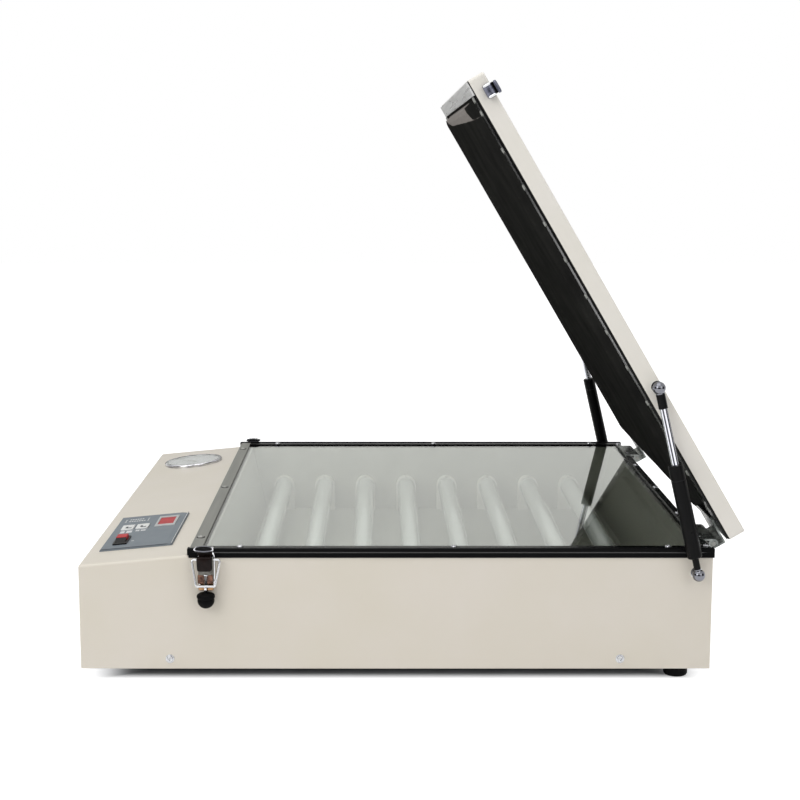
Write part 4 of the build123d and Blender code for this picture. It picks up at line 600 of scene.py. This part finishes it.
def height_over_slope(name):
    """The highest place of a CAD piece above the control top, in its own frame."""
    mesh = node[name].data
    points = np.empty(len(mesh.vertices) * 3, np.float32)
    mesh.vertices.foreach_get("co", points)
    return float(put(points.reshape(-1, 3), np.linalg.inv(SLOPE))[:, 2].max())


for name, x, up in (("timer_key", 0.176, 0.0306), ("start_key", 0.1756, 0.0476)):
    on_key = SLOPE @ turned((0, 0, height_over_slope(name) + PRINT_LIFT), (0, 0, 1))
    marks(f"{name}_mark", [(x + 0.0030, up - 0.0008, 0.0080, 0.0026),
                           (x + 0.0062, up + 0.0024, 0.0036, 0.0052)],
          on_key, ink_dark, name, "white_plastic")

# ---- vacuum gauge ------------------------------------
# Pressed steel case with a chromed flange, a silvered dial with a printed scale, a black needle
# and a flat glass.
GAUGE_FACE = SLOPE @ turned((-0.231, 0.0589, 0.0), (0, 0, 1))
DIAL_TOP, DIAL_R, FIGURE_R, FIGURE_SIZE = 0.0013, 0.0330, 0.02112, 0.0058
SCALE_FROM, SCALE_SWEEP, SCALE_STEPS, LONG_EVERY = 225, -270, 20, 4

# Chrome mirrors the room sharply but for a haze of handling; the flange's near-black and
# near-white blotches are painted reflections.
chrome = clouded("bright_chrome_plate", "#D9DADC", 0.07, ("#D2D3D6", "#DFE0E1", 12),
                 metallic=1.0, shine=(0.04, 0.12))
chrome_painted_reflections = clouded("chrome_flange_painted_reflections", "#A9A9AE", 0.16,
                       ("#66666C", "#EDEDF0", 16), metallic=0.9)
dress(chrome_painted_reflections, "gauge_case")

# Silvered card: dull grey with a slight sheen. Needle lacquer: flat black.
dial_silver = clouded("silvered_dial_card", "#86858A", 0.4, ("#7B7980", "#A4A2A8", 9), metallic=0.3)
dress(dial_silver, "gauge_dial")

needle_black = clouded("black_needle_lacquer", "#141414", 0.35, ("#101010", "#1B1B1B", 4))
dress(needle_black, "gauge_pointer")

dress(clear_glass("gauge_glass", "#F7FAF8", (0.97, 0.98, 0.97, 1), 1.33, 60.0, 0.01), "gauge_lens")


def dial_way(n):
    """The direction to step n of the scale: at the start angle plus n shares of the sweep."""
    a = math.radians(SCALE_FROM + SCALE_SWEEP * n / SCALE_STEPS)
    return np.array([math.cos(a), math.sin(a), 0])


def scale_ring():
    """Graduations along the dial's edge, of which every fourth one is long and wide."""
    grids = []
    for n in range(SCALE_STEPS + 1):
        inner, half = (0.82, 0.0005) if n % LONG_EVERY == 0 else (0.90, 0.00025)
        out = dial_way(n) * DIAL_R
        side = half * np.array([-out[1], out[0], 0]) / DIAL_R
        grids.append([[out * inner - side, out - side], [out * inner + side, out + side]])
    return np.array(grids)[:, ::-1, ::-1]


def number_mesh(name, words, size):
    """Figures from the built-in type face: each (text, middle) is made a mesh and set in place."""
    points, faces = [], []
    for text, middle in words:
        curve = bpy.data.curves.new(name, "FONT")
        curve.body, curve.size = text, size
        curve.align_x, curve.align_y = "CENTER", "CENTER"
        holder = bpy.data.objects.new(name, curve)
        scene.collection.objects.link(holder)
        bpy.context.view_layer.update()
        drawn = holder.evaluated_get(bpy.context.evaluated_depsgraph_get())
        flat = bpy.data.meshes.new_from_object(drawn)
        bpy.data.objects.remove(holder)
        corners = np.empty(len(flat.vertices) * 3)
        flat.vertices.foreach_get("co", corners)
        faces += [[len(points) + v for v in face.vertices] for face in flat.polygons]
        points += list(corners.reshape(-1, 3) + middle)
    return np.array(points), faces


on_dial = GAUGE_FACE @ turned((0, 0, DIAL_TOP + 0.00008), (0, 0, 1))
figures = [(str(5 * n), FIGURE_R * dial_way(n)) for n in range(0, SCALE_STEPS + 1, LONG_EVERY)]
points, faces = number_mesh("dial_figures", figures, FIGURE_SIZE)
figure_mesh = bpy.data.meshes.new("dial_figures")
figure_mesh.from_pydata(put(points, on_dial).tolist(), [], faces)
dial_figures = bpy.data.objects.new("dial_figures", figure_mesh)
scene.collection.objects.link(dial_figures)
for made in (surface("dial_scale", put(scale_ring(), on_dial)), dial_figures):
    fit(made, needle_black, "base", "panel_plastic")

# ---- vacuum pump, hose and port ----------------------
# Diaphragm pump with a cast aluminium head, and clear-grey PVC hose to the gauge and the port.
# Sand casting: dull and pitted. PVC: smoky, under a wet shine.
cast = clouded("sand_cast_aluminium", "#9C9D9F", 0.5,
               ("#8F9093", "#A9AAAC", 5), (0.9, 0.05), metallic=0.9)
dress(cast, "vacuum_pump", "vacuum_port")
hose_pvc, look = new_finish("smoke_grey_pvc_hose", "#8A8E90", 0.3)
mottle(look, "#7F8385", "#96999B", 10)
look[1].inputs["Coat Weight"].default_value = 0.3
dress(hose_pvc, "vacuum_hose")

# ---- mains inlet -------------------------------------
# Moulded black three-pin inlet, snapped in the rear panel.
dress(switch_black, "power_inlet")

# ---- lid ---------------------------------------------
# Folded steel cover in the same ivory powder coat, a black blanket clamped under it by a stoved
# steel frame, and a bright aluminium strip across its front.
HINGE_AT, OPEN_ANGLE = np.array([0, 0.3317, 0.1407]), math.radians(-59.4)
OPEN = np.eye(4)
OPEN[1:3, 1:3] = [[math.cos(OPEN_ANGLE), -math.sin(OPEN_ANGLE)],
                  [math.sin(OPEN_ANGLE), math.cos(OPEN_ANGLE)]]
OPEN[:3, 3] = HINGE_AT - OPEN[:3, :3] @ HINGE_AT
LID_LOW, CLAMP_LOW, CLAMP_X, CLAMP_REAR_Y = 0.1556, 0.1528, 0.313, 0.3146

# The lid's coat is the housing's ivory painted lighter, painted light for the brighter light that
# falls on the lid. The strip is pale, in long brushed lines.
lid_ivory_painted_light, look = new_finish("ivory_powder_coat_lid_painted_light", "#ECE8DF", 0.4)
mottle(look, "#EAE6DC", "#EEEAE3", 90)
peel = grain(look, IVORY_PEEL_MM, 0.012)
vary_roughness(look, peel, 0.36, 0.46)
dress(lid_ivory_painted_light, "lid_shell")
dress(black_steel, "blanket_clamp")

bright_strip = clouded("brushed_bright_aluminium", "#E2E2E1", 0.4,
                       ("#CECECE", "#EFEFEE", 4, (0.03, 1, 1)),
                       (0.8, 0.012, (0.02, 1, 1)), metallic=0.3, shine=(0.22, 0.4))
dress(bright_strip, "lid_front_strip")

clamp_y = [-0.2138, *np.linspace(-0.1983, 0.2857, 12)]
clamp_places = [OPEN @ turned((side * CLAMP_X, y, CLAMP_LOW), (0, 0, -1), 14 + 29 * n)
                for side in (-1, 1) for n, y in enumerate(clamp_y)]
clamp_places += [OPEN @ turned((x, CLAMP_REAR_Y, CLAMP_LOW), (0, 0, -1), 20 + 37 * n)
                 for n, x in enumerate(np.linspace(-0.180, 0.180, 9))]
leaf_places = [OPEN @ turned((side * HINGE_X + x, CLAMP_REAR_Y, CLAMP_LOW - LEAF_T), (0, 0, -1),
                             x * 700) for side in (-1, 1) for x in LEAF_SCREWS]
copies("lid_pan_screws", case_head, clamp_places, dull_zinc, "lid", "plated_steel", "lid_screws")
copies("lid_leaf_screws", leaf_head, leaf_places, bright_zinc, "lid", "plated_steel")

# ---- blanket -----------------------------------------
# Black rubber sheet over a foam pad: the sheet is clamped round the lid and drawn over the pad, so
# it is sharp where it turns down and ripples lengthwise where it is slack.
BLANKET_LOW, PAD_LOW = 0.1544, 0.1444
SHEET_HALF, SHEET_FRONT, SHEET_REAR = 0.327, -0.2334, 0.3236
PAD_HALF, PAD_FRONT, PAD_REAR, WALL = 0.263, -0.2134, 0.2936, 0.0024
FINE_STEP = 0.0008


def stations(low, high, wall_low, wall_high, fine, coarse):
    """Places from low to high: a fine run at each wall and an even coarse run between them."""
    inside = np.linspace(wall_low + fine * 9, wall_high - fine * 9, coarse)
    near_low = wall_low + fine * np.arange(-3, 9)
    near_high = wall_high - fine * np.arange(8, -4, -1)
    return np.concatenate([[low, (low + near_low[0]) / 2], near_low, inside, near_high,
                           [(high + near_high[-1]) / 2, high]])


def blanket_surface():
    """Depth of the pad under the sheet: each wall is a smooth step, with a soft shoulder inside
    it; slack waves are sums of sines of x and y that fade out towards the edges."""
    x = stations(-SHEET_HALF, SHEET_HALF, -PAD_HALF, PAD_HALF, FINE_STEP, 150)
    y = stations(SHEET_FRONT, SHEET_REAR, PAD_FRONT, PAD_REAR, FINE_STEP, 110)
    x, y = np.meshgrid(x, y)

    def step(t, width):
        t = np.clip(t / width, 0, 1)
        return t * t * (3 - 2 * t)

    side, front, rear = PAD_HALF - abs(x), y - PAD_FRONT, PAD_REAR - y
    wall = np.prod([step(t + WALL / 2, WALL) for t in (side, front, rear)], axis=0)
    shoulder = 0.84 + 0.16 * step(front, 0.008)
    shoulder *= 0.94 + 0.06 * step(rear, 0.006)
    shoulder *= 0.86 + 0.14 * step(side, 0.006)
    depth = (BLANKET_LOW - PAD_LOW - 0.0004) * wall * shoulder
    calm = step(side, 0.05) * step(front, 0.06) * step(rear, 0.05)
    waves = (0.00011 * np.sin(x * 95 + 1.3 * np.sin(y * 9)) + 0.00016 * np.sin(x * 41 + y * 7 + 1.1)
             + 0.00006 * np.sin(x * 170 - y * 5 + 0.8 * np.sin(y * 16)))
    ripple = 0.00025 * np.sin(y * 300 + 2 * np.sin(x * 14)) * step(0.03 - rear, 0.03) * wall
    z = BLANKET_LOW - depth + waves * calm - abs(ripple)
    return np.stack([x, y, np.maximum(z, PAD_LOW + 0.00005)], -1)


under = blanket_surface()
rim = under.copy()
rim[..., 2] = LID_LOW
blanket_front = np.concatenate([rim[:1], under, rim[-1:]])
left, right = blanket_front[:, :1].copy(), blanket_front[:, -1:].copy()
left[..., 2] = right[..., 2] = LID_LOW
blanket = surface("blanket", put(np.concatenate([left, blanket_front, right], 1)[:, ::-1], OPEN))

# Calendered rubber: dead matt charcoal that mirrors nothing.
blanket_rubber, look = new_finish("black_calendered_rubber", "#2A2A29", 0.6, gloss=0.0)
tree, skin, place = look
cloud, tint = mottle(look, "#252524", "#30302E", 45)
vary_roughness(look, cloud, 0.55, 0.7)
grain(look, 1.3, 0.03)

# Along the pad's front edge the colour turns from the rubber's charcoal to a light grey mottle, in
# a band that narrows to both ends. Its borders are straight lines in the closed lid's x and y, each
# given as (y at x = 0, slope); a third line ends the band at one side.
PALE_BAND_BORDER = ((-0.2134 + 0.0942 * 0.263, 0.0942), (-0.202 + 0.01383 * 0.142, 0.01383))
PALE_BAND_END = (-0.2134 - 0.2833 * 0.203, 0.2833)
CLOSE = np.linalg.inv(OPEN)
closed = add(tree, "ShaderNodeMapping", {"Vector": place, "Location": CLOSE[:3, 3],
                                         "Rotation": (-OPEN_ANGLE, 0, 0)})
closed = add(tree, "ShaderNodeSeparateXYZ", {0: closed})
lines = [add(tree, "ShaderNodeMath", {0: closed, 1: slope, 2: start}, operation="MULTIPLY_ADD")
         for start, slope in (*PALE_BAND_BORDER, PALE_BAND_END)]
fray = add(tree, "ShaderNodeTexNoise", {"Vector": place, "Scale": 160.0})
border = add(tree, "ShaderNodeMath", {0: lines[0], 1: lines[1]}, operation="MINIMUM")
border = add(tree, "ShaderNodeMath", {0: fray.outputs["Fac"], 1: 0.003, 2: border},
             operation="MULTIPLY_ADD")
ahead = add(tree, "ShaderNodeMath", {0: border, 1: closed.outputs[1]}, operation="SUBTRACT")
inside = add(tree, "ShaderNodeMath", {0: closed.outputs[1], 1: lines[2]}, operation="SUBTRACT")
ahead = add(tree, "ShaderNodeMapRange", {0: ahead, 1: 0.0012, 2: 0.0018})
inside = add(tree, "ShaderNodeMapRange", {0: inside, 1: 0.0, 2: 0.0005})
behind = add(tree, "ShaderNodeMapRange", {0: closed.outputs[1], 1: -0.2152, 2: -0.2146})
in_pale_band = add(tree, "ShaderNodeMath", {0: ahead, 1: inside}, operation="MULTIPLY")
in_pale_band = add(tree, "ShaderNodeMath", {0: in_pale_band, 1: behind}, operation="MULTIPLY")
pale_band = add(tree, "ShaderNodeTexNoise", {"Vector": place, "Scale": 300.0, "Detail": 4.0})
pale_band = add(tree, "ShaderNodeMix", {0: pale_band.outputs["Fac"], 6: linear("#77726F"),
                                   7: linear("#B8B2AD")}, data_type="RGBA")
shown = add(tree, "ShaderNodeMix", {0: in_pale_band, 6: tint.outputs[2], 7: pale_band.outputs[2]},
            data_type="RGBA")
tree.links.new(shown.outputs[2], skin.inputs["Base Color"])
fit(blanket, blanket_rubber, "lid", "blanket_rubber", "rubber_blanket")

# ---- hinges ------------------------------------------
# Pressed steel butt hinges, nickel plated, with five rolled knuckles on a steel pin.
# Nickel: grey, with near-black blotches that are painted dark reflections.
nickel_painted_reflections = clouded("nickel_plate_painted_reflections", "#7C817D", 0.3, ("#2F3432", "#9DA19E", 9),
                 metallic=1.0, shine=(0.2, 0.42))
dress(nickel_painted_reflections, "hinge_base_leaves", "hinge_lid_leaves")
dress(dull_zinc, "hinge_pins")

# ---- gas struts --------------------------------------
# Gas springs: a black lacquered pressure tube, a chromed piston rod, a black plastic end fitting
# and chromed ball cups on studs.
STRUT_FOOT = (0.0, 0.3057, 0.1188)
STRUT_LINE = (0.0, -0.230352, 0.973107)
STRUT_LENGTH = 0.206435
STRUT_X, ROD_REFLECTION_STRIPES = 0.3395, 5


def strut_zones(name, zones):
    """Mixes finishes along the strut: the place's projection on the strut's line picks the zone.
    zones are (start in metres from the lower ball, hex colour, roughness, metallic)."""
    start, colour, roughness, metallic = zones[0]
    made, look = new_finish(name, colour, roughness, metallic)
    tree, shade, place = look
    mottle(look, colour, colour, 8)
    from_foot = add(tree, "ShaderNodeVectorMath", {0: place, 1: STRUT_FOOT}, operation="SUBTRACT")
    run = add(tree, "ShaderNodeVectorMath", {0: from_foot, 1: STRUT_LINE}, operation="DOT_PRODUCT")
    for start, colour, roughness, metallic in zones[1:]:
        other = add(tree, "ShaderNodeBsdfPrincipled", {
            "Base Color": linear(colour), "Metallic": metallic,
            "Specular IOR Level": 0.5 if metallic else 0.1})
        cloud = add(tree, "ShaderNodeTexNoise", {"Vector": place, "Scale": 90.0})
        vary_roughness((tree, other, place), cloud.outputs["Fac"], roughness * 0.8, roughness * 1.3)
        shade = change_at(tree, run.outputs["Value"], start, shade, other)
    show(tree, shade)
    return made, look


# The cups are bright at the ends; the tube is black with a pale scratch round its shoulder.
strut_tube, _ = strut_zones("black_lacquered_strut_tube", [
    (0, "#77787E", 0.08, 1.0), (0.0068, "#0B0B0C", 0.32, 0.0), (0.0196, "#0A0A0B", 0.34, 0.0),
    (0.1059, "#1D1D1F", 0.4, 0.0), (0.1073, "#0A0A0B", 0.34, 0.0)])
strut_rod, look = strut_zones("chromed_strut_rod_painted_stripes", [
    (0, "#C3C5CA", 0.07, 1.0), (STRUT_LENGTH - 0.022, "#0B0B0C", 0.3, 0.0),
    (STRUT_LENGTH - 0.0062, "#77787E", 0.08, 1.0)])
# Painted reflections along the rod: light and dark stripes from the sine of a few times the angle
# round its axis.
tree, skin, place = look
from_foot = add(tree, "ShaderNodeVectorMath", {0: place, 1: STRUT_FOOT}, operation="SUBTRACT")
across = add(tree, "ShaderNodeVectorMath", {0: from_foot, 1: (0, STRUT_LINE[2], -STRUT_LINE[1])},
             operation="DOT_PRODUCT")
outward = add(tree, "ShaderNodeSeparateXYZ", {0: place})
outward = add(tree, "ShaderNodeMath", {0: outward}, operation="ABSOLUTE")
depth = add(tree, "ShaderNodeMath", {0: outward, 1: STRUT_X}, operation="SUBTRACT")
angle = add(tree, "ShaderNodeMath", {0: across.outputs["Value"], 1: depth}, operation="ARCTAN2")
waves = add(tree, "ShaderNodeMath", {0: angle, 1: ROD_REFLECTION_STRIPES}, operation="MULTIPLY")
painted_reflection_stripe = add(tree, "ShaderNodeMath", {0: waves}, operation="SINE")
ramp = add(tree, "ShaderNodeMapRange", {"Value": painted_reflection_stripe, "From Min": -0.9, "From Max": -0.1})
lines = add(tree, "ShaderNodeMix", {0: ramp, 6: linear("#33343C"), 7: linear("#E6E7EE")},
            data_type="RGBA")
tree.links.new(lines.outputs[2], skin.inputs["Base Color"])
dress(strut_tube, "strut_cylinder_left", "strut_cylinder_right")
dress(strut_rod, "strut_rod_left", "strut_rod_right")
dress(chrome, "strut_base_studs", "strut_lid_studs")

# ---- latches -----------------------------------------
# Chromed over-centre draw latches: a back plate whose flared lip stands proud of the deck, a brown
# lacquered lever over a copper-plated nut and stem, a wire bail, and a moulded rubber knob.
LATCH_Y, STEM_X = -0.2188, 0.3375
LIP_MIDDLE, LIP_HALF = (-0.2210, 0.1463), (0.0108, 0.0026)
RIM_X, RIM_SWING = 0.3357, 0.0012
KNOB_Y, KNOB_Z, KNOB_R = -0.2191, 0.0914, 0.0094
KNOB_PROFILE = [(0, -1), (0.26, -0.97), (0.5, -0.87), (0.72, -0.7), (0.88, -0.47), (0.96, -0.22),
                (0.975, -0.02), (0.93, 0.08), (0.9, 0.12), (0.93, 0.16), (1.01, 0.22), (1.05, 0.36),
                (1.03, 0.52), (0.95, 0.64), (0.82, 0.73), (0.62, 0.8), (0.4, 0.86), (0, 0.88)]


def slab(y_middle, z_middle, half_y, half_z, back, front, crown, edge, corner, taper):
    """A plate facing +X: rings of the outline |y/a|^corner + |z/b|^corner = 1, domed by crown at
    its middle, narrowed downwards by taper, with an edge that rolls back over a quarter turn."""
    turn = np.linspace(0, 2 * np.pi, 48, endpoint=False)
    c, s = np.cos(turn), np.sin(turn)
    reach = (abs(c) ** corner + abs(s) ** corner) ** (-1 / corner)
    flat = np.array([0, 0.25, 0.5, 0.75, 0.9, 1.0])
    roll = np.linspace(0, np.pi / 2, 4)[1:]
    inset = np.concatenate([flat * 0, edge * np.sin(roll), [edge]])
    share = np.concatenate([flat, [1, 1, 1, 1]])
    depth = [front + crown * (1 - flat ** 2), front - edge * (1 - np.cos(roll)), [back]]
    y = (share[:, None] * (half_y - edge) + inset[:, None]) * reach * c
    z = (share[:, None] * (half_z - edge) + inset[:, None]) * reach * s
    y = y * (1 + taper * z / half_z)
    return np.stack([np.concatenate(depth)[:, None] + 0 * y, y_middle + y, z_middle + z], -1)


def tube(path, radius, spokes=16):
    """A closed tube round a closed flat path in a plane square to +X: the section turns about the
    path's own direction; radius is one number for each point."""
    path = np.asarray(path, float)
    ahead = np.roll(path, -1, 0) - np.roll(path, 1, 0)
    ahead /= np.linalg.norm(ahead, axis=1, keepdims=True)
    out = np.array([1.0, 0, 0])
    side = np.cross(ahead, out)
    turn = np.linspace(0, 2 * np.pi, spokes, endpoint=False)[None, :, None]
    ring = np.cos(turn) * side[:, None] + np.sin(turn) * out
    return path[:, None] + np.asarray(radius)[:, None, None] * ring


dress(chrome, "latch_bail_left", "latch_bail_right")

# Satin zinc: soft, with a blue cast.
keeper_zinc = clouded("satin_zinc_keeper_plate", "#5E6070", 0.3, ("#4C4F60", "#787A88", 6),
                      metallic=0.6, shine=(0.24, 0.38))

# The lip's colour is a painted highlight, bright at both ends and dull between: the distance along
# it picks the colour.
lip_nickel_painted_highlight, look = new_finish("nickel_lip_painted_highlights", "#B4B5BA", 0.16, 1.0)
tree, skin, place = look
along = add(tree, "ShaderNodeSeparateXYZ", {0: place})
along = add(tree, "ShaderNodeMath", {0: along.outputs[1], 1: LIP_MIDDLE[0]}, operation="SUBTRACT")
reach = add(tree, "ShaderNodeMath", {0: along}, operation="ABSOLUTE")
painted_highlight_ends = add(tree, "ShaderNodeMapRange", {"Value": reach, "From Min": 0.68 * LIP_HALF[0],
                                        "From Max": 0.9 * LIP_HALF[0]})
painted_light_tone = add(tree, "ShaderNodeMix", {0: painted_highlight_ends, 6: linear("#6C6C72"), 7: linear("#DADADE")},
           data_type="RGBA")
tree.links.new(painted_light_tone.outputs[2], skin.inputs["Base Color"])

# Brown lacquer: hard and nearly black. Copper: patches of red and black. Band steel: worn grey.
lever_brown = clouded("dark_brown_lever_lacquer", "#1B1412", 0.24,
                      ("#150F0E", "#221917", 6), gloss=0.1)

copper = clouded("tarnished_copper_plate", "#5E463C", 0.28, ("#2C201D", "#84604F", 5),
                 metallic=0.85, shine=(0.2, 0.4))

brass = clouded("dull_brass_plate", "#A07C58", 0.3, ("#8A6848", "#B48F6A", 4), metallic=0.9)

band_grey = clouded("worn_grey_lever_steel", "#6A6864", 0.4,
                    ("#5A5854", "#7A7872", 4), metallic=0.6)

# Each plate of a latch: its name, then in millimetres its middle y and z, half y and z, back and
# front x, crown and edge, then its corner and taper, its finish and its body. The keeper's plates
# are given on the shut lid. The head of the lever ends 3.5 mm over its pivot, so that it clears the
# plate as it swings out, and the plate's own brown head fills the gap under the lip.
LATCH_PLATES = (
    ("lip", -221, 146.3, 10.4, 2.3, 329.1, 334.1, 0, 0.5, 2, 0, lip_nickel_painted_highlight, "base"),
    # The black plate in the lip's mouth is painted: it stands for the dark reflection inside the
    # cup.
    ("lip_painted_dark_reflection", -221, 146.3, 9.8, 2.2, 333.9, 334.9, -0.6, 0.5, 2, 0, black_steel, "base"),
    ("plate", -218.8, 123.5, 9, 19, 329.1, 330.3, 0, 0.5, 8, 0, chrome, "base"),
    ("plate_head", -220.3, 140.2, 8, 2.8, 330.1, 330.9, 0, 0.5, 8, 0, lever_brown, "base"),
    ("lever", -220.3, 130.3, 7.9, 7.7, 333.4, 340.4, 0.6, 1, 9, 0.05, lever_brown, "lever"),
    ("lever_band", -219.4, 121.5, 7.3, 3, 334.2, 339.2, 0, 0.5, 6, 0, band_grey, "lever"),
    ("lever_cheek_rear", -211.4, 125.8, 0.7, 12, 333.4, 338.2, 0, 0.4, 5, 0, band_grey, "lever"),
    ("nut", -219.4, 114, 8.2, 5.2, 334.5, 339.1, 0, 0.8, 9, 0, copper, "lever"),
    ("stem_washer", -218.8, 104.4, 7.9, 2.7, 334.5, 339.1, 0, 0.8, 9, 0, brass, "lever"),
    # The lock nut has the flange's finish, with its painted reflections.
    ("lock_nut", -219.2, 104, 1.3, 2.1, 337.5, 341.1, 0.4, 0.5, 4, 0, chrome_painted_reflections, "lever"),
    ("keeper", -214.5, 169.05, 7.7, 4.75, 328, 337.4, 0.3, 2.7, 5, 0, keeper_zinc, "lid"),
    ("keeper_shoulder_front", -220.6, 169.05, 1.3, 4, 328, 337.6, 0.3, 0.8, 4, 0, chrome, "lid"),
    ("keeper_shoulder_rear", -208.4, 169.05, 1.3, 4, 328, 337.6, 0.3, 0.8, 4, 0, chrome, "lid"),
    ("keeper_neck", -214.5, 175.1, 6.4, 1.6, 328, 332.6, 0, 0.5, 5, 0, black_steel, "lid"),
    ("keeper_hook", -214.1, 178.1, 7.1, 1.9, 331, 335.8, 1.4, 0.8, 4, 0, keeper_zinc, "lid"))
turn = np.linspace(0, 2 * np.pi, 64, endpoint=False)
rim = np.stack([RIM_X - RIM_SWING * np.sin(turn),
                LIP_MIDDLE[0] + (LIP_HALF[0] - 0.0008) * np.cos(turn),
                LIP_MIDDLE[1] + LIP_HALF[1] * np.sin(turn) - 0.0004 * np.cos(turn) ** 4], -1)
rim_r = 0.00022 + 0.0007 * np.clip(-np.sin(turn), 0, 1) + 0.00065 * np.cos(turn) ** 10
stem = lathe([(0.0, 0.0995), (0.0021, 0.0995), (0.0021, 0.1180), (0.0028, 0.1182), (0.0028, 0.1192),
              (0.0, 0.1194)], 24) + (STEM_X + 0.0012, LATCH_Y, 0)
knob = lathe(np.array(KNOB_PROFILE) * KNOB_R + (0, KNOB_Z), 56) + (STEM_X, KNOB_Y, 0)

for side, name in ((1, "right"), (-1, "left")):
    lever_body = f"latch_lever_{name}"
    stands_for = {"lever": lever_body}
    if side > 0:
        stands_for |= {"plate": "latch_bases", "keeper": "latch_keepers"}

    def part(label, grid, finish, body, slot="plated_steel", close_rows=False):
        """One latch piece. The far side's is the mirror of it: -x, with its rows turned round."""
        grid = grid if side > 0 else (grid * (-1, 1, 1))[::-1]
        made = surface(f"latch_{label}_{name}", grid, close_rows=close_rows, close_columns=True)
        fit(made, finish, lever_body if body == "lever" else body, slot,
            *([stands_for[label]] if label in stands_for else []))

    part("lip_rim", tube(rim, rim_r), lip_nickel_painted_highlight, "base", close_rows=True)
    for label, *millimetres, corner, taper, finish, body in LATCH_PLATES:
        grid = slab(*(n / 1000 for n in millimetres), corner, taper)
        part(label, put(grid, OPEN) if body == "lid" else grid, finish, body)
    part("stem", stem, bright_zinc, "lever")
    part("knob", knob, rubber, "lever", "black_rubber")
